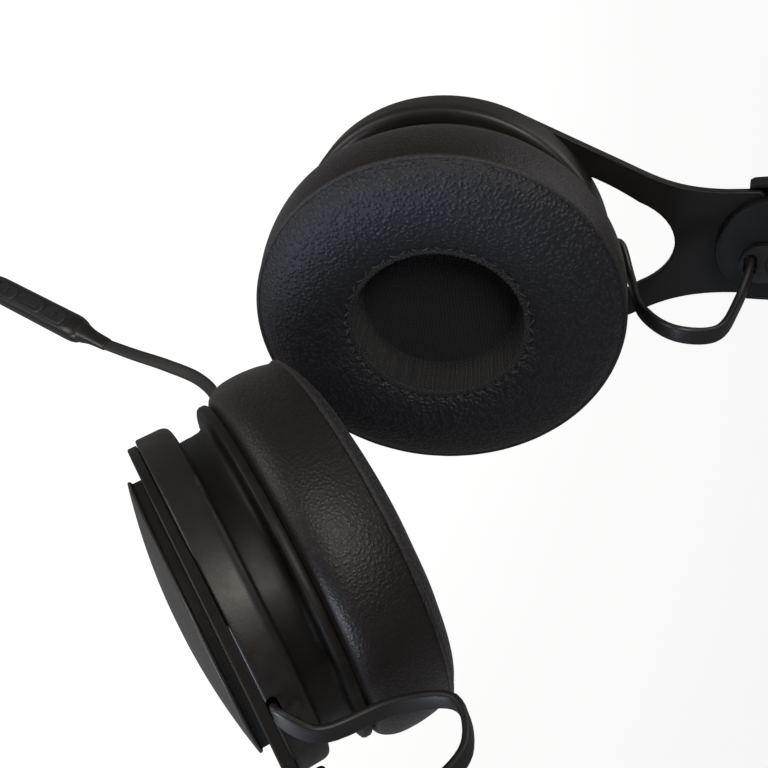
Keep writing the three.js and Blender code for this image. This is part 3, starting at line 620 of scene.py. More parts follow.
# Each edge colour lightens the rims, partly as wear and partly as a painted highlight; the arm plate's,
# the lightest, is mostly a painted light band along its edge.
HOUSING = plastic("housing", (0.0092, 0.0074, 0.0064), 0.42, worn_and_lit_edge=(0.035, 0.031, 0.028))
BODY = plastic("cup_body", (0.0048, 0.004, 0.0035), 0.46, worn_and_lit_edge=(0.025, 0.022, 0.02), gloss=0.26)
CAP = plastic("cap", (0.024, 0.021, 0.019), 0.4, grain=0.000015, worn_and_lit_edge=(0.06, 0.055, 0.05))
SHELL = plastic("shell", (0.0042, 0.0042, 0.0046), 0.44, worn_and_lit_edge=(0.02, 0.02, 0.021), gloss=0.22)
SOFT = plastic("soft_plastic", (0.0068, 0.0066, 0.007), 0.5, grain=0.00003, worn_and_lit_edge=(0.025, 0.025, 0.026))
REMOTE = plastic("remote_shell", (0.0066, 0.0064, 0.0062), 0.33, grain=0.000012,
                 worn_and_lit_edge=(0.03, 0.03, 0.028))
PLATE = plastic("arm_plate", (0.0075, 0.0068, 0.0068), 0.46, grain=0.00001,
                worn_and_lit_edge=(0.06, 0.056, 0.05), gloss=0.24)
STEEL = brushed("steel", (0.45, 0.45, 0.46), 0.32)
SCREW = brushed("dark_screw", (0.035, 0.034, 0.034), 0.42)
JACK = brushed("jack", (0.72, 0.71, 0.69), 0.18)
CABLE = cable_jacket("cable", (0.0088, 0.0082, 0.0084))
# Face and wall are one leatherette: the face's lighter blue tint is a painted cool sheen, the wall's
# brown tint painted warm light; only the grain differs between them.
CUSHION = leather("cushion_face_cool_sheen", (0.0115, 0.0125, 0.018), 1400, 0.0002, 0.47, 0.3)
WALL = leather("cushion_wall_warm_light", (0.0084, 0.0052, 0.0053), 1800, 0.00006, 0.42, 0.2)
# The welt's lighter colour is a painted highlight along the raised seam cord.
WELT = leather("cushion_welt", (0.024, 0.0215, 0.022), 1900, 0.00005, 0.5)
PAD = leather("crown_leather", (0.0105, 0.0105, 0.012), 1150, 0.00012)
# The second colour of each knit is a painted highlight on its loops; the first is the shade between
# them.
RIM_KNIT = knit("rim_knit", (0.0016, 0.0017, 0.0022), (0.085, 0.088, 0.1), 0.55, 0.7, 0.0003)
LINING = knit("lining_knit", (0.001, 0.0011, 0.0015), (0.065, 0.068, 0.078), 0.66, 0.6, 0.0003)
SCREEN = knit("screen_knit", (0.001, 0.0011, 0.0015), (0.06, 0.063, 0.074), 0.58, 0.6, 0.0003)
THREAD = speckled("thread", (0.014, 0.0145, 0.017), (0.035, 0.036, 0.04), 0.7, 4000, Sheen_Weight=0.1)
TIE = knit("tie_weave", (0.006, 0.006, 0.0065), (0.03, 0.03, 0.031), 0.8, 0.8)
MAGNET = brushed("magnet", (0.36, 0.36, 0.37), 0.3)
FILM = speckled("film", (0.45, 0.42, 0.34), (0.52, 0.49, 0.41), 0.35, 900)
BOARD = speckled("board", (0.015, 0.075, 0.035), (0.02, 0.1, 0.05), 0.4, 700)
# Near black: the jack's insulating rings are really this colour; on the cap's skirt it is painted shade
# where the cap meets the arm plate. The cutting tools carry it as well.
DARK = plastic("black_and_painted_shade", (0.005, 0.005, 0.005), 0.8, grain=0.00001)


def dress(node, material):
    """Gives a solid that stays as the frame has it its material."""
    mesh = frame["nodes"][node].data
    mesh.materials.clear()
    mesh.materials.append(material)


# ---------- cords, remote, hank and plug ----------
REMOTE_TOP = Vector((-0.015, 0.0159, -0.24335))       # metres, where the top sleeve starts
REMOTE_AIM = Vector((0, -0.184289, -0.982872)).normalized()


def remote_frame():
    z = -Vector(joints["up_press"]["axis"])
    x = REMOTE_AIM.cross(z)
    return basis(x, REMOTE_AIM, z, REMOTE_TOP)


REMOTE_FRAME = remote_frame()


def steady(route, wides):
    """Carries the width direction along the route so that it turns slowly and never flips."""
    result = []
    last = None
    for along, wide in zip(tangents(route), wides):
        flat = wide - along * wide.dot(along)
        if flat.length < 0.2:
            flat = last.copy() if last else along.orthogonal()
        flat = flat.normalized()
        if last:
            if flat.dot(last) < 0:
                flat = -flat
            flat = last.lerp(flat, 0.35)
            flat = (flat - along * flat.dot(along)).normalized()
        last = flat
        result.append(flat)
    return result


def make_upper_cord():
    """From the gland to the remote: its flat side turns from the drum's to the viewer's."""
    route = spline([
        (0.01779, 0.01796, -0.16815), (0.01481, 0.01819, -0.17033), (0.006, 0.018, -0.17735),
        (-0.003, 0.0175, -0.18435), (-0.01, 0.0172, -0.19235), (-0.0135, 0.0169, -0.20235),
        (-0.0146, 0.0166, -0.21635), (-0.015, 0.0166, -0.23135), REMOTE_TOP - REMOTE_AIM * GAP * MM,
    ], 8)
    gland_wide = heading(SIDES["left"], X)
    facing = Vector((-0.62, -0.62, 0.1)).normalized()
    remote_wide = heading(REMOTE_FRAME, X)
    wides = []
    total = length_of(route)
    walked = 0.0
    for point, after in zip(route, route[1:] + route[-1:]):
        share = walked / total
        walked += (after - point).length
        middle = gland_wide.lerp(facing, min(1, share / 0.25))
        wides.append(middle.lerp(remote_wide, max(0, (share - 0.6) / 0.4)))
    piece = ribbon("cord_upper_flat", route, steady(route, wides), CABLE)
    place_piece(piece, "left_arm", ["cord_upper"])
    return piece, route


def hank_point(x, y, z):
    """Millimetres from the top of the hank: across, down and towards the front."""
    return HANK_TOP + Vector((x, -z, y)) * MM


def hank_turns():
    """The flat turns, three deep and three across, and how low their folds' centres are."""
    high = -HANK_OUTER
    low = -HANK_OUTER - HANK_RUN
    order = [(0, 0), (0, 1), (0, 2), (1, 2), (1, 1), (1, 0), (2, 1), (2, 0)]
    points = []
    for (layer, deep), (next_layer, next_deep) in zip(order, order[1:]):
        radius = HANK_FOLD + (layer + 0.5) * TURN_PITCH
        next_radius = HANK_FOLD + (next_layer + 0.5) * TURN_PITCH
        depth = (1 - deep) * DEEP_PITCH
        next_depth = (1 - next_deep) * DEEP_PITCH
        points += [(-radius, high + (low - high) * share, depth) for share in (0.3, 0.6, 0.95)]
        points += [(x, y, depth) for x, y in arc((0, low), radius, 180, 360, 8)[1:-1]]
        for share in (0.05, 0.35, 0.65, 0.95):
            ease = share * share * (3 - 2 * share)
            points.append((radius + (next_radius - radius) * ease, low + (high - low) * share,
                           depth + (next_depth - depth) * ease))
        points += [(x, y, next_depth) for x, y in arc((0, high), next_radius, 0, 180, 8)[1:-1]]
    points.append((-next_radius, high + (low - high) * 0.25, next_depth))
    return points, low


def make_lower_cord():
    """From the remote into the hank, round its turns and down to the plug."""
    foot = REMOTE_TOP + REMOTE_AIM * (REMOTE_LENGTH + 2 * RELIEF_LENGTH + 3 * GAP) * MM
    turns, low = hank_turns()
    front = HANK_HALF_DEPTH + LEAD_THICKNESS
    entry = [(0, 5.5, 2), (0, 2.2, front - 1), (0, -2.5, front), (0, -8, front),
             (-2.5, -15, front - 1.6)]
    bottom = low - HANK_OUTER
    exit_run = [(-11.6, low + 15, front - 1), (-8.6, low + 4, front), (-3.6, low - 6, front),
                (-0.6, bottom + 3, front), (0, bottom - 1.5, 3.4),
                (0, bottom - GAP - TAIL_LENGTH * 0.6, 0.6), (0, bottom - GAP - TAIL_LENGTH, 0)]
    route = spline([foot, foot + REMOTE_AIM * 0.006, (-0.0132, 0.0019, -0.32035),
                    *[hank_point(*p) for p in entry + turns[1:] + exit_run]], 4)
    wides = []
    start_wide = heading(REMOTE_FRAME, X)
    for point in route:
        drop = (foot.z - point.z) / 0.02
        hint = X if abs(point.x - HANK_TOP.x) < 0.0065 else -Y
        if drop < 1:
            hint = start_wide.lerp(X if start_wide.x > 0 else -X, max(0, drop))
        wides.append(hint)
    piece = ribbon("cord_lower_flat", route, steady(route, wides), CABLE)
    place_piece(piece, "left_arm", ["cord_lower", "cord_hank", "cord_tail"])
    return piece, route


upper_cord, upper_route = make_upper_cord()
lower_cord, lower_route = make_lower_cord()


def sleeve(name, stations, hint, material):
    """A tapered moulded sleeve through [point, along, width, depth] stations, in metres."""
    rings = []
    for point, along, width, depth in stations:
        wide = (hint - along * hint.dot(along)).normalized()
        thin = along.cross(wide)
        rings.append([point + wide * (a * width / 2 * MM) + thin * (b * depth / 2 * MM)
                      for a, b in rounded_square(24, 3)])
    return loft(name, rings, None, material, sharp=50)


def relief(name, root, along, hint):
    """A strain relief from its wide root to its thin end, as [share, width, depth] rows."""
    shape = [(-0.12, 5.6, 4.4), (0, 5.3, 4.2), (0.1, 4.9, 3.8), (0.25, 4.4, 3.1), (0.45, 4.05, 2.6),
             (0.7, 3.85, 2.2), (1.04, 3.6, 1.7)]
    stations = [(root + along * share * RELIEF_LENGTH * MM, along, width, depth)
                for share, width, depth in shape]
    stations.append((stations[-1][0] + along * 0.00001, along, 3.3, 1.5))
    return soften(sleeve(name, stations, hint, REMOTE), 0.2)


def make_gland():
    """Bends out of the left drum, as [reach, aim, height, width, depth] rows."""
    side = SIDES["left"]
    stations = []
    bend = [(0.8, -1, 3.1, 6.7, 4.7), (-1.2, -0.995, 3.2, 6.3, 4.4), (-2.2, -0.985, 3.35, 5.2, 3.6),
            (-3.4, -0.97, 3.6, 4.9, 3.3), (-5.4, -0.92, 4.5, 4.4, 2.8), (-7.4, -0.87, 5.6, 4, 2.4),
            (-7.45, -0.87, 5.63, 3.5, 1.8)]
    for reach, aim, height, width, depth in bend:
        point = side @ Vector((0, -30.8 + reach, height))
        along = heading(side, Vector((0, aim, math.sqrt(1 - aim * aim))))
        stations.append((point, along, width, depth))
    piece = sleeve("gland_moulding", stations, heading(side, X), SOFT)
    return place_piece(piece, "left_arm", ["cord_gland"])


def make_remote():
    """The housing with its keys' well and parting line, the three keys and the two sleeves."""
    ends = [(0, 0.5), (0.35, 0.62), (1.0, 0.76), (2.2, 0.9), (3.6, 0.975), (5.4, 1.0)]
    steps = ends + [(REMOTE_LENGTH * t, 1.0) for t in (0.3, 0.5, 0.7)]
    steps += [(REMOTE_LENGTH - y, scale) for y, scale in reversed(ends)]
    top = RELIEF_LENGTH + GAP
    rings = []
    half, deep = REMOTE_WIDTH / 2, REMOTE_DEPTH / 2
    for y, scale in steps:
        rings.append([(a * half * scale, top + y, b * deep * scale) for a, b in rounded_square(40, 2.7)])
    shell = loft("remote_housing", rings, REMOTE_FRAME, REMOTE, sharp=60)
    well = extrude("well", capsule(3.0, top + 5.5, top + 40.5, 10), deep - 0.5, REMOTE_DEPTH,
                   REMOTE_FRAME, REMOTE)
    carve(shell, [well, seam_cutter(top)])
    soften(shell, 0.16, 2, 35)
    place_piece(shell, "left_arm", ["remote_back", "remote_front"])
    spans = {"up": (7, 16), "centre": (17.2, 28.8), "down": (30, 39)}
    for name, (low, high) in spans.items():
        body = extrude(f"{name}_key", capsule(2.2, top + low, top + high, 12), KEY_FLOOR, deep - 0.12,
                       REMOTE_FRAME, SOFT, round_edges=0.32)
        marks = [body]
        if name == "centre":
            marks.append(extrude("ridge", capsule(0.9, top + 19.5, top + 26.5, 8), deep - 0.2,
                                 deep + 0.02, REMOTE_FRAME, SOFT, round_edges=0.12))
        else:
            middle = top + (low + high) / 2
            bar = capsule(0.28, middle - 1.1, middle + 1.1, 5)
            cross = [(y - middle, middle + x) for x, y in bar]
            marks.append(extrude("bar", cross, deep - 0.2, deep + 0.06, REMOTE_FRAME, SOFT))
            if name == "up":
                marks.append(extrude("stem", bar, deep - 0.2, deep + 0.05, REMOTE_FRAME, SOFT))
        for mark in marks:
            bake(mark)
        key = joined(f"{name}_key", marks)
        place_piece(key, f"{name}_button", [f"remote_button_{name}"])
    along = REMOTE_AIM
    wide = heading(REMOTE_FRAME, X)
    above = relief("remote_sleeve_top", REMOTE_TOP + along * RELIEF_LENGTH * MM, -along, wide)
    place_piece(above, "left_arm", ["remote_relief_top"])
    foot = REMOTE_TOP + along * (RELIEF_LENGTH + REMOTE_LENGTH + 2 * GAP) * MM
    below = relief("remote_sleeve_end", foot, along, wide)
    place_piece(below, "left_arm", ["remote_relief_end"])
    return shell, above, below


def seam_cutter(top):
    """A thin frame around the remote's sides, for the parting line between its halves."""
    half = REMOTE_WIDTH / 2
    outer = capsule(half + 2, top - 2, top + REMOTE_LENGTH + 2, 10)
    inner = capsule(half - 0.3, top + 0.4, top + REMOTE_LENGTH - 0.4, 10)
    return extrude("seam", outer, -0.09, 0.09, REMOTE_FRAME, REMOTE, holes=[inner])


def make_tie():
    """A woven band round the hank's middle."""
    centre = HANK_TOP + Vector((0, 0, -(HANK_OUTER + HANK_RUN / 2) * MM))
    place = basis(X, -Y, -Z, centre)
    half = HANK_OUTER + GAP
    deep = HANK_HALF_DEPTH + GAP
    front = deep + 1.4
    corner = 2.2
    inside = (arc((half - 2, front - corner), corner, 90, 0, 6)
              + arc((half - 2, -deep + 2), corner, 0, -90, 6)
              + arc((-half + 2, -deep + 2), corner, 270, 180, 6)
              + arc((-half + 2, front - corner), corner, 180, 90, 6))
    inner, outer_loop = [[(x * (half + grow) / half, y * (deep + grow) / deep) for x, y in inside]
                         for grow in (0.0, 1.0)]
    rings = []
    edge, trimmed = 4.5, 4.2
    rows = [(-edge, 0.3), (-trimmed, 0.0), (trimmed, 0.0), (edge, 0.3)]
    profile = [(z, trim, outer_loop) for z, trim in rows]
    profile += [(z, -trim, inner) for z, trim in reversed(rows)]
    for z, trim, loop in profile:
        rings.append([(x * (1 - trim * 0.02), y * (1 - trim * 0.05), z) for x, y in loop])
    count = len(inside)
    points = [p for ring in rings for p in ring]
    faces, uvs = [], []
    along, across = 2.2, 2.0
    for i in range(len(rings)):
        j = (i + 1) % len(rings)
        for k in range(count):
            n = (k + 1) % count
            faces.append([i * count + k, i * count + n, j * count + n, j * count + k])
            uvs += [(a * along, b * across)
                    for a, b in ((k, i), (k + 1, i), (k + 1, i + 1), (k, i + 1))]
    band = outward(mesh_piece("tie_band", points, faces, place, TIE, uvs))
    return place_piece(band, "left_arm", ["cord_tie"])


def make_plug():
    """The sleeve, the grip and the pin with its three rings."""
    root = HANK_TOP + Vector((0, 0, -(HANK_RUN + 2 * HANK_OUTER + 2 * GAP + TAIL_LENGTH))) * MM
    down = -Z
    sleeve_piece = relief("plug_sleeve", root + down * RELIEF_LENGTH * MM, -down, X)
    place_piece(sleeve_piece, "left_arm", ["plug_relief"])
    grip_top = root + down * (RELIEF_LENGTH + GAP) * MM
    frame_here = basis(X, down, X.cross(down), grip_top)
    rows = [(0, 0.7), (0.3, 0.82), (1.0, 0.93), (2.2, 1.0), (7, 1.0), (9.5, 1.0), (11.4, 0.93),
            (12.8, 0.78), (13.6, 0.55), (13.95, 0.3)]
    rings = [[(a * PLUG_GRIP_HALF * scale, y, b * PLUG_GRIP_HALF * scale)
              for a, b in rounded_square(32, 3.4)] for y, scale in rows]
    grip = loft("plug_grip", rings, frame_here, REMOTE, sharp=60)
    place_piece(grip, "left_arm", ["plug_body"])
    pin_frame = basis(Y, Z, X, grip_top + down * (14 - 3.7) * MM)
    base = 4.0
    shoulder = base + PLUG_COLLAR
    tip = shoulder + PLUG_PIN_LENGTH
    profile = rounded([(0, base), (2.7, base), (2.7, shoulder), (1.75, shoulder), (1.75, tip - 3.6),
                       (1.25, tip - 2.9), (1.65, tip - 1.7), (0.5, tip), (0, tip)], 0.25)
    pin = lathe("plug_jack", profile, pin_frame, JACK, 48, reference=1.75)
    pin.data.materials.append(DARK)
    axis = heading(pin_frame, Z)
    for face in pin.data.polygons:
        reach = (face.center - pin_frame.translation).dot(axis) / MM
        insulated = any(abs(reach - ring) < 0.3 for ring in (tip - 10.4, tip - 7.4, tip - 4.4))
        face.material_index = 1 if insulated else 0
    place_piece(pin, "left_arm", ["plug_pin"])
    return sleeve_piece, grip, pin


gland = make_gland()
remote, remote_above, remote_below = make_remote()
tie = make_tie()
plug_sleeve, plug_grip, plug_jack = make_plug()
dress("remote_board", BOARD)


# ---------- ear cups ----------
BORE = ellipse((0, 0), PIN_BORE, PIN_BORE, 24)


def turned(place, x, y, z, origin):
    """A frame inside another one, from its axes and origin in millimetres."""
    axes = Matrix((x, y, z)).transposed().to_4x4()
    return place @ Matrix.Translation(origin) @ axes


def planar_uv(piece, place):
    """Lays the surface out flat, in millimetres of the frame's X and Y."""
    back = place.inverted()
    layer = piece.data.uv_layers.get("surface") or piece.data.uv_layers.new(name="surface")
    for loop, uv in zip(piece.data.loops, layer.data):
        flat = back @ piece.data.vertices[loop.vertex_index].co
        uv.uv = (flat.x, flat.y)
    return piece


def make_cap(side, place):
    """The domed outer cap; its skirt reaches the arm plate and is painted near black, as shade where the
    cap meets the plate.
    """
    radius, top, rim, bulge = 24.75, -1.65, -3.9, 2.8
    dome = [(radius * math.sqrt(1 - k / 16) if k < 16 else 0, rim - bulge * (k / 16))
            for k in range(1, 17)]
    profile = [(0, top), (20.6, top), (20.6, rim + 0.6), (23.65, rim + 0.6), (23.65, top), (24.2, top),
               (24.2, rim + 0.65), (24.5, rim + 0.6), (radius, rim + 0.4), (radius, rim), *dome]
    cap = lathe(f"cap_{side}", rounded(profile, 0.3), place, CAP, 128)
    cap.data.materials.append(DARK)
    back = place.inverted()
    # Faces behind the rim take the dark material: painted shade between the cap and the arm plate.
    for face in cap.data.polygons:
        face.material_index = 1 if (back @ face.center).z > rim + 0.5 else 0
    place_piece(cap, f"{side}_arm", [f"outer_cap_{side}"])


def plate_outline():
    """The round end, the shoulders, the neck and the strip that slides in the headband."""
    reach = 29.7
    tangent = 28.7
    edge = [(reach * math.cos(math.radians(tangent)), reach * math.sin(math.radians(tangent)))]
    right = [(15.2, 34.5), *bezier((15.2, 34.5), (12.6, 39.2), (10.6, 43), (10.3, 51), 12),
             (10.3, 56), *bezier((10.3, 56), (10.2, 57.2), (7.6, 57), (7.5, 58.4), 5),
             (7.5, 85.2), (6.7, 86)]
    left = [(-x, y) for x, y in reversed(right)]
    return edge + right + left + arc((0, 0), reach, 180 - tangent, 360 + tangent, 72)[:-1]


def window_outline():
    """The open triangle between the drum and the neck."""
    angle = math.degrees(math.atan2(26.19, 14.1))
    return [(-14.1, 26.19), *bezier((-14.1, 26.19), (-12.4, 30), (-10.2, 33.2), (-8.6, 35.4), 6),
            *bezier((-8.6, 35.4), (-6.6, 39.6), (-3.4, 41.9), (0, 41.9), 8),
            *bezier((0, 41.9), (3.4, 41.9), (6.6, 39.6), (8.6, 35.4), 8),
            *bezier((8.6, 35.4), (10.2, 33.2), (12.4, 30), (14.1, 26.19), 6),
            *arc((0, 0), 29.75, angle, 180 - angle, 16)[1:-1]]


def make_arm_plate(side, place):
    bore = arc((0, 0), 20, 0, 360, 72)[:-1]
    plate = extrude(f"plate_{side}", plate_outline(), -1.6, 0.1, place, PLATE,
                    holes=[window_outline(), bore], round_edges=0.28)
    place_piece(plate, f"{side}_arm", [f"arm_plate_{side}"])


def make_drum(side, place, cord_side):
    """The round housing with the lead's mouth, and the two posts that hold the gimbal's pins."""
    profile = rounded([(0, 0.15), (30.5, 0.15), (30.5, 4.8), (30.1, 5.8), (29.1, 6.2), (27.4, 6.2),
                       (27.4, 5), (29, 4.6), (29, 0.75), (0, 0.75)], 0.45)
    body = lathe(f"drum_body_{side}", profile, place, HOUSING, 144)
    mouth = turned(place, X, Z, -Y, Vector((cord_side * 0.4, 34, 1.05)))
    slot = capsule(0.93, -2.5, 2.5, 10)
    carve(body, [extrude("slot", [(b, -a) for a, b in slot], 0, 8, mouth, DARK)])
    posts = []
    for sign in (-1, 1):
        middle = sign * 14
        outline = [(middle - 1.5, -2.5), (middle + 1.5, -2.5), (middle + 1.5, 2.5), (middle - 1.5, 2.5)]
        post = extrude("post", outline, 0.7, 10.2, place, HOUSING)
        bore = turned(place, Y, Z, X, Vector((middle - 3, 0, PIVOT_HEIGHT)))
        carve(post, [extrude("bore", BORE, 0, 6, bore, DARK)])
        posts.append(post)
    drum = joined(f"drum_shell_{side}", [body, *posts])
    soften(drum, 0.12, 2, 50)
    place_piece(drum, f"{side}_arm", [f"drum_{side}"])


def make_cup_body(side, place):
    """A neck that is round about the pivot, a cove, a flange, and the hub on the gimbal."""
    pivot = PIVOT_HEIGHT
    drop = 5.4 - pivot
    ball = [(math.sqrt(27 ** 2 - drop ** 2 * (1 - i / 10) ** 2), pivot + drop * (1 - i / 10))
            for i in range(11)]
    cove = [(27.15, 10.1), (27.35, 10.6), (27.7, 11.05), (28.2, 11.3), (28.8, 11.4), (30.2, 11.45)]
    flange = [(30.7, 11.7), (30.9, 12.1), (30.9, 12.9), (30.7, 13.2), (30.3, 13.3), (21.2, 13.3),
              (21.2, 12.8)]
    profile = ball + cove + flange + [(8, 12.8), (8, 12.1), (24.2, 12.1), (25.2, 5.4)]
    shell = lathe(f"neck_{side}", profile, place, BODY, 144, closed=True)
    hub = lathe(f"hub_{side}", [(0, 7.2), (8.6, 7.2), (8.6, 12.3), (0, 12.3)], place, BODY, 64)
    bores = []
    for start in (-9.6, 6.8):
        bore = turned(place, Z, X, Y, Vector((0, start, pivot)))
        bores.append(extrude("bore", BORE, 0, 2.8, bore, DARK))
    carve(hub, bores)
    cup = joined(f"cup_{side}", [shell, hub])
    soften(cup, 0.12, 2, 50)
    place_piece(cup, f"{side}_cup", [f"cup_body_{side}"])


RIM_STITCHES = 52
SEAM_STITCHES = 84
SEAM = (32.35, 26.75)                # radius and height of the corded seam
RIM = (15.75, 27.85)                 # radius and height of the hole's binding


def pucker(seed):
    """Small folds across the skin: pulled in along the seam and towards the hole, loose between."""
    def move(point, angle, walked):
        radius = math.hypot(point.x, point.y)
        around = Vector((math.cos(angle) * 3, math.sin(angle) * 3, seed))
        folds = noise.noise(around * 9) + 0.6 * noise.noise(around * 21)
        slack = noise.noise(around * 1.3)
        to_rim = math.exp(-((radius - 17.2) / 2.4) ** 2) if point.z > 25 else 0
        to_seam = math.exp(-(math.dist((radius, point.z), SEAM) / 1.9) ** 2)
        to_base = math.exp(-((point.z - 14.2) / 1.6) ** 2)
        lift = 0.09 * to_rim + 0.05 * to_seam + 0.025 * to_base
        gather = 0
        if point.z > 25:
            gather = 0.15 * math.exp(-((radius - 16.3) / 0.7) ** 2) * math.cos(angle * RIM_STITCHES)
        sideways = lift * folds * (0.9 if point.z < 27.5 else 0.15) - gather
        out = Vector((math.cos(angle), math.sin(angle), 0)) * sideways
        raised = lift * folds + 0.08 * slack + gather if point.z > 24 else 0
        return point + out + Vector((0, 0, raised))

    return move


def cushion_profile():
    """The wall, the seam's groove, the face and the hidden inside, as [radius, height] pairs."""
    outer = spline([(29.6, 13.75, 0), (31.4, 14.3, 0), (32.7, 16.4, 0), (33.15, 19.5, 0), (33, 23.4, 0),
                    (32.45, 26.3, 0)], 5)
    face = spline([(32.15, 27, 0), (30.6, 28.3, 0), (28, 29.25, 0), (24.5, 29.75, 0), (20.6, 29.5, 0),
                   (17.7, 28.85, 0), (16.2, 28.2, 0)], 6)
    skin = [(p.x, p.y) for p in outer] + [(32.1, 26.7)] + [(p.x, p.y) for p in face]
    return [(16.2, 15.6), (20.7, 15), (20.7, 13.65), *skin, (15.7, 27.4), (15.8, 22)]


def make_welt(side, place):
    """Corded seam where the face panel meets the wall, with the thread beside it."""
    def wave(point, angle, walked):
        around = Vector((9 * math.cos(angle), 9 * math.sin(angle), 4))
        return point + Vector((0, 0, 0.05 * noise.noise(around)))

    # The welt's lighter leather is a painted highlight along the raised cord.
    welt = lathe(f"welt_{side}", ellipse(SEAM, 0.42, 0.42, 10), place, WELT, 160, closed=True,
                 shift=wave)
    stitches = [stitch(place, angle, (31.4, 27.62), 0.011, 0.09) for angle in full_turn(SEAM_STITCHES)]
    return welt, joined(f"seam_thread_{side}", stitches)


def stitch(place, angle, spot, half_turn, thickness, tilt=0.0):
    """One stitch of thread lying around the ring at a radius and height."""
    radius, height = spot
    points = []
    for k in range(5):
        share = k / 4 - 0.5
        turn = angle + 2 * share * half_turn
        sunk = height - 0.35 * (2 * share) ** 2 + 0.12
        reach = radius + tilt * share
        points.append(Vector((reach * math.cos(turn), reach * math.sin(turn), sunk)))
    rings = []
    for point, along in zip(points, tangents(points)):
        wide = along.cross(Z).normalized()
        thin = along.cross(wide)
        rings.append([point + wide * a + thin * b for a, b in ellipse((0, 0), thickness, thickness, 6)])
    return loft("stitch", rings, place, THREAD, sharp=80)


def make_rim(side, place):
    """Knitted binding round the hole, held by overlock stitches."""
    radius, height = RIM
    ribs = 120

    def move(point, angle, walked):
        spot = Vector((math.cos(angle), math.sin(angle), 0.2))
        depth = (0.07 * math.cos(angle * ribs) + 0.1 * noise.noise(spot * 6)
                 + 0.12 * noise.noise(spot * 40))
        reach = math.hypot(point.x, point.y) - radius
        outward_of_core = Vector((math.cos(angle) * reach, math.sin(angle) * reach, point.z - height))
        return point + outward_of_core * depth / 0.6

    ring = lathe(f"rim_{side}", ellipse(RIM, 0.62, 0.6, 12), place, RIM_KNIT, 4 * ribs, closed=True,
                 shift=move, reference=16.3)
    stitches = [stitch(place, angle, (16.45, 28.46), 0.033, 0.14, tilt=0.7 if i % 2 else -0.7)
                for i, angle in enumerate(full_turn(RIM_STITCHES))]
    return ring, joined(f"rim_thread_{side}", stitches)


def make_lining(side, place):
    """Ribbed knit down the inside of the hole."""
    ribs = 104
    rows = [(15.4, 27.7), (15.15, 26.8), (15, 24.8), (14.9, 22.6), (14.75, 21.4), (14.45, 20.75),
            (14.1, 20.5), (13.7, 20.4), (14.1, 20), (14.8, 20), (15.25, 21.4), (15.4, 25), (15.5, 27.4)]

    def move(point, angle, walked):
        inward = Vector((math.cos(angle), math.sin(angle), 0))
        ripple = 0.1 * noise.noise(inward * 4 + Vector((0, 0, point.z / 6)))
        return point + inward * (0.13 * math.cos(angle * ribs) + ripple)

    return lathe(f"lining_{side}", rows, place, LINING, 4 * ribs, closed=True, shift=move,
                 reference=0.66 * 140 / (2 * math.pi))


def make_screen(side, place):
    """Cloth over the driver, a little sunk and uneven."""
    rows = [(0, 20.75)] + [(r, 20.75 - 0.3 * (r / 15) ** 2) for r in range(2, 15, 2)]
    rows += [(15.3, 20.4), (15.4, 20.1), (15.2, 19.8), (0, 19.8)]

    def move(point, angle, walked):
        return point + Vector((0, 0, 0.12 * noise.noise(point * 0.23)))

    screen = lathe(f"screen_knit_{side}", rows, place, SCREEN, 96, shift=move)
    return planar_uv(screen, place)


def make_cushion(side, place, seed):
    """The padded ring, with its seam, binding, lining and screen."""
    skin = lathe(f"cushion_skin_{side}", cushion_profile(), place, CUSHION, 288, closed=True,
                 shift=pucker(seed), reference=25)
    skin.data.materials.append(WALL)
    back = place.inverted()
    # Below the seam the wall takes the brown, painted warm light; above it the face takes the lighter
    # blue, painted cool sheen.
    for face in skin.data.polygons:
        face.material_index = 1 if (back @ face.center).z < SEAM[1] else 0
    pad = soften(skin, 0.1, 1, 60)
    place_piece(pad, f"{side}_cup", [f"ear_cushion_{side}"])
    for piece in make_welt(side, place):
        place_piece(piece, f"{side}_cup")
    for piece in make_rim(side, place):
        place_piece(piece, f"{side}_cup")
    place_piece(make_lining(side, place), f"{side}_cup")
    place_piece(make_screen(side, place), f"{side}_cup", [f"ear_screen_{side}"])


# ---------- flat leads over the arms ----------
def make_arm_lead(side, place, cord_side):
    """Arches from the drum over the arm."""
    arch = [(0, 31.2, 0.95), (0, 31.9, 0.95), (4.6, 34.3, 4.6), (4.8, 37.2, 16.2), (4.5, 43, 23.2),
            (6, 49.5, 20.8), (5.4, 53, 12.2), (1.9, 55, 6.4), (1.9, 55.1, 4.3)]
    route = spline([place @ Vector((cord_side * x, y, z)) for x, y, z in arch], 8)
    lead = ribbon(f"lead_{side}", route, [heading(place, X)] * len(route), CABLE)
    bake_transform(lead)
    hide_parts(f"arm_lead_{side}")


def make_boss(side, place, cord_side):
    """The lead's moulded foot, with its pocket and the groove round its face."""
    x = cord_side * 1.9
    outline = capsule(3.8, 53.2, 68, 16, x)
    boss = extrude(f"boss_{side}", outline, 3.2, 4.45, place, SOFT)
    across = turned(place, Y, -X, Z, Vector((x, 55.1, 0)))
    pocket = extrude("pocket", capsule(1.05, -2.1, 2.1, 10), 3.5, 6, across, DARK)
    groove = extrude("groove", capsule(2.6, 57.6, 66.6, 14, x), 4.25, 5, place, DARK,
                     holes=[capsule(2.35, 57.85, 66.35, 14, x)])
    carve(boss, [pocket, groove])
    soften(boss, 0.3, 3, 40)
    place_piece(boss, "headband", [f"lead_boss_{side}"])


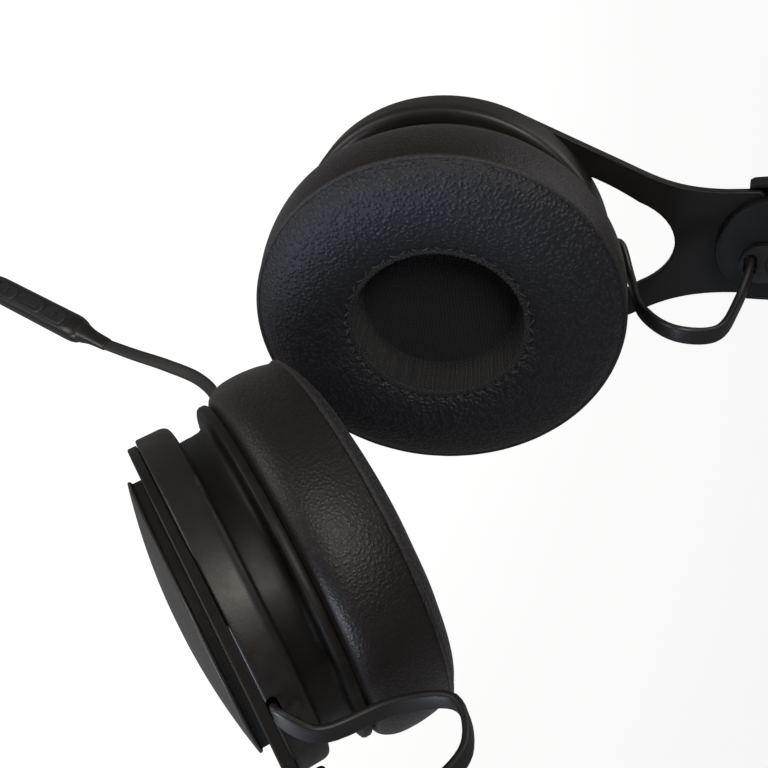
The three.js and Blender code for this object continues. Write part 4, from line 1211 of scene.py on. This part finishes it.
# ---------- headband ----------
def band_stations(reaches, crown_steps):
    """Places along the band from the left mouth over the crown to the right one."""
    def straight(side, reach, sign):
        place = SIDES[side]
        return {"reach": reach, "share": None, "origin": place @ Vector((0, reach, 0)),
                "along": heading(place, Y * sign), "across": heading(place, X * sign)}

    stations = [straight("left", reach, 1) for reach in reaches]
    if crown_steps:
        start, end = straight("left", BAND_STRAIGHT, 1), straight("right", BAND_STRAIGHT, 1)
        crown = Vector((0, 0, CROWN_HEIGHT))
        shoulder, reach = 36 * MM, Vector((58 * MM, 0, 0))
        curves = [(start["origin"], start["origin"] + start["along"] * shoulder, crown + reach, crown),
                  (crown, crown - reach, end["origin"] + end["along"] * shoulder, end["origin"])]
        for i in range(1, 2 * crown_steps):
            share = i / (2 * crown_steps)
            a, b, c, d = curves[0 if share < 0.5 else 1]
            t = share * 2 - (0 if share < 0.5 else 1)
            u = 1 - t
            along = (b - a) * (3 * u ** 2) + (c - b) * (6 * t * u) + (d - c) * (3 * t * t)
            origin = a * u ** 3 + b * (3 * t * u ** 2) + c * (3 * t * t * u) + d * t ** 3
            stations.append({"reach": None, "share": share, "origin": origin,
                             "along": along.normalized(),
                             "across": start["across"].lerp(-end["across"], share)})
    return stations + [straight("right", reach, -1) for reach in reversed(reaches)]


def band_ring(station, section):
    """Sets a section in millimetres across the band at a station."""
    along = station["along"]
    across = (station["across"] - along * station["across"].dot(along)).normalized()
    inward = across.cross(along).normalized()
    return [station["origin"] + (across * a + inward * b) * MM for a, b in section]


def band_width(station, end, crown):
    """Half the width at a station, which grows from the ends to the crown."""
    if station["share"] is None:
        return end
    return end + (crown - end) * math.sin(math.pi * station["share"]) ** 0.8


def soft_rectangle(half, low, high, corner, steps=3):
    """A rectangle with rounded corners, as [across, through] pairs."""
    spots = ((half - corner, low + corner, -90), (half - corner, high - corner, 0),
             (-half + corner, high - corner, 90), (-half + corner, low + corner, 180))
    return [p for x, y, start in spots for p in arc((x, y), corner, start, start + 90, steps)]


def make_shell():
    """The outer shell, with a channel for the spring and the sliding strips."""
    rings = []
    first = 54.5
    for station in band_stations([first, 55.2, 57, 60, 60.5, 66, 76, BAND_STRAIGHT], 24):
        mouth = 1 if station["reach"] is None else min(1, (station["reach"] - first) / 10)
        half = band_width(station, 11.8 + 0.6 * mouth, 14.5)
        trim = 0.25 if station["reach"] == first else 0
        channel = 10.9 if station["reach"] and station["reach"] <= 60 else 8.0
        low, floor, top = -4.05 + trim, -1.65, -0.15
        edge = half - trim
        back = ([(-edge, low + 1.5), *arc((-edge + 1.7, low + 1.7), 1.7, 180, 270, 5)[1:],
                 *[(edge * k, low - 0.12 * (1 - k * k) * (1 - trim)) for k in (-0.5, 0, 0.5)],
                 *arc((edge - 1.7, low + 1.7), 1.7, 270, 360, 5), (edge, low + 1.9)])
        front = [(edge, top - 0.3), (edge - 0.3, top), (channel, top), (channel, floor),
                 (-channel, floor), (-channel, top), (-edge + 0.3, top), (-edge, top - 0.3)]
        rings.append(band_ring(station, back + front))
    shell = loft("shell", rings, None, SHELL, sharp=40)
    place_piece(soften(shell, 0.15, 2, 50), "headband", ["band_shell"])


def make_liner(side):
    """The inner cover over the sliding strip, with a round tip."""
    place = SIDES[side]
    tip, radius = 49, 10
    steps = [0.12, 0.4, 0.8, 1.4, 2.2, 3.2, 4.5, 6, 8, 9.9]
    rings = []
    for reach in [tip + step for step in steps] + [62, 66, 76, 86]:
        rest = radius - (reach - tip)
        half = math.sqrt(radius ** 2 - rest ** 2) if rest > 0 else radius + min(1, -rest / 12)
        corner = min(0.75, half / 3)
        rings.append([(a, reach, b) for a, b in soft_rectangle(half, 0.15, 3.05, corner)])
    liner = loft(f"liner_{side}", rings, place, SHELL, sharp=50)
    place_piece(soften(liner, 0.3, 3, 35), "headband", [f"band_liner_{side}"])


def make_pad():
    """The padding under the crown, fullest in the middle."""
    rings = []
    for station in band_stations([BAND_STRAIGHT + GAP], 32):
        swell = math.sin(math.pi * (station["share"] or 0))
        half = band_width(station, 11, 13.3)
        depth = 2.9 + 2.6 * swell
        ripple = 0.12 * noise.noise(station["origin"] * 90)
        section = []
        for a, b in rounded_square(40, 2.8, lower_power=4.5):
            tall = depth / 2 + (ripple if b > 0 else 0) - 0.06
            section.append((a * half, 0.15 + depth / 2 + b * tall))
        rings.append(band_ring(station, section))
    pad = loft("crown_pad_skin", rings, None, PAD, sharp=60)
    place_piece(pad, "headband", ["crown_pad"])


for index, side in enumerate(("left", "right")):
    cord_side = CORD_SIDE[side]
    make_cap(side, SIDES[side])
    make_arm_plate(side, SIDES[side])
    make_drum(side, SIDES[side], cord_side)
    make_cup_body(side, CUPS[side])
    make_cushion(side, CUPS[side], 3.7 + 5 * index)
    make_arm_lead(side, SIDES[side], cord_side)
    make_boss(side, SIDES[side], cord_side)
    make_liner(side)
    dress(f"gimbal_{side}", STEEL)
    dress(f"driver_frame_{side}", SOFT)
    dress(f"driver_magnet_{side}", MAGNET)
    dress(f"driver_diaphragm_{side}", FILM)
    for number in (1, 2, 3):
        dress(f"plate_screw_{side}_{number}", SCREW)
make_shell()
make_pad()
dress("spring_band", STEEL)


# ---------- floor and light ----------
AMBIENT = 0.2
FLOOR_REACH = 8
FLOOR_HEIGHT = -1.2


def make_stage():
    """A white floor far below and an even white surround."""
    corners = [(-1, -1), (1, -1), (1, 1), (-1, 1)]
    floor = mesh_piece("floor", [(x * FLOOR_REACH, y * FLOOR_REACH, FLOOR_HEIGHT) for x, y in corners],
                       [(0, 1, 2, 3)])
    surface = Surface("floor", (0.95, 0.95, 0.95), 0.9, Emission_Strength=0.72)
    surface.set("Emission Color", (1, 1, 1, 1))
    surface.link(surface.vary(1.01, 2), "Base Color")
    floor.data.materials.append(surface.material)
    floor.visible_glossy = False
    floor.visible_diffuse = False
    world = bpy.data.worlds.new("studio")
    world.use_nodes = True
    tree = world.node_tree
    background = tree.nodes["Background"]
    background.inputs["Color"].default_value = (1, 1, 1, 1)
    seen = tree.nodes.new("ShaderNodeLightPath").outputs["Is Camera Ray"]
    level = tree.nodes.new("ShaderNodeMapRange")
    level.inputs["To Min"].default_value = AMBIENT
    level.inputs["To Max"].default_value = 1.0
    tree.links.new(seen, level.inputs["Value"])
    tree.links.new(level.outputs[0], background.inputs["Strength"])
    scene.world = world
    scene.view_settings.view_transform = "Standard"


def softbox(name, offset, size, power, tint=(1, 1, 1)):
    """A soft round light at an offset from the headset's middle, aimed at it."""
    middle = Vector((0, 0, -0.1))
    light = bpy.data.lights.new(name, "AREA")
    light.shape = "DISK"
    light.size = size
    light.energy = power
    light.color = tint
    lamp = bpy.data.objects.new(name, light)
    lamp.location = middle + Vector(offset)
    lamp.rotation_euler = (middle - lamp.location).to_track_quat("-Z", "Y").to_euler()
    scene.collection.objects.link(lamp)


make_stage()
softbox("key", (0.5, -0.9, 0.9), 0.7, 11, (1, 0.94, 0.86))
softbox("fill", (-0.9, -0.5, 0.5), 0.9, 3)
softbox("window", (0.515, 0.132, -0.044), 0.3, 2.6, (0.72, 0.82, 1))
softbox("side", (0.57, -0.47, -0.47), 0.5, 2.5, (1, 0.93, 0.84))
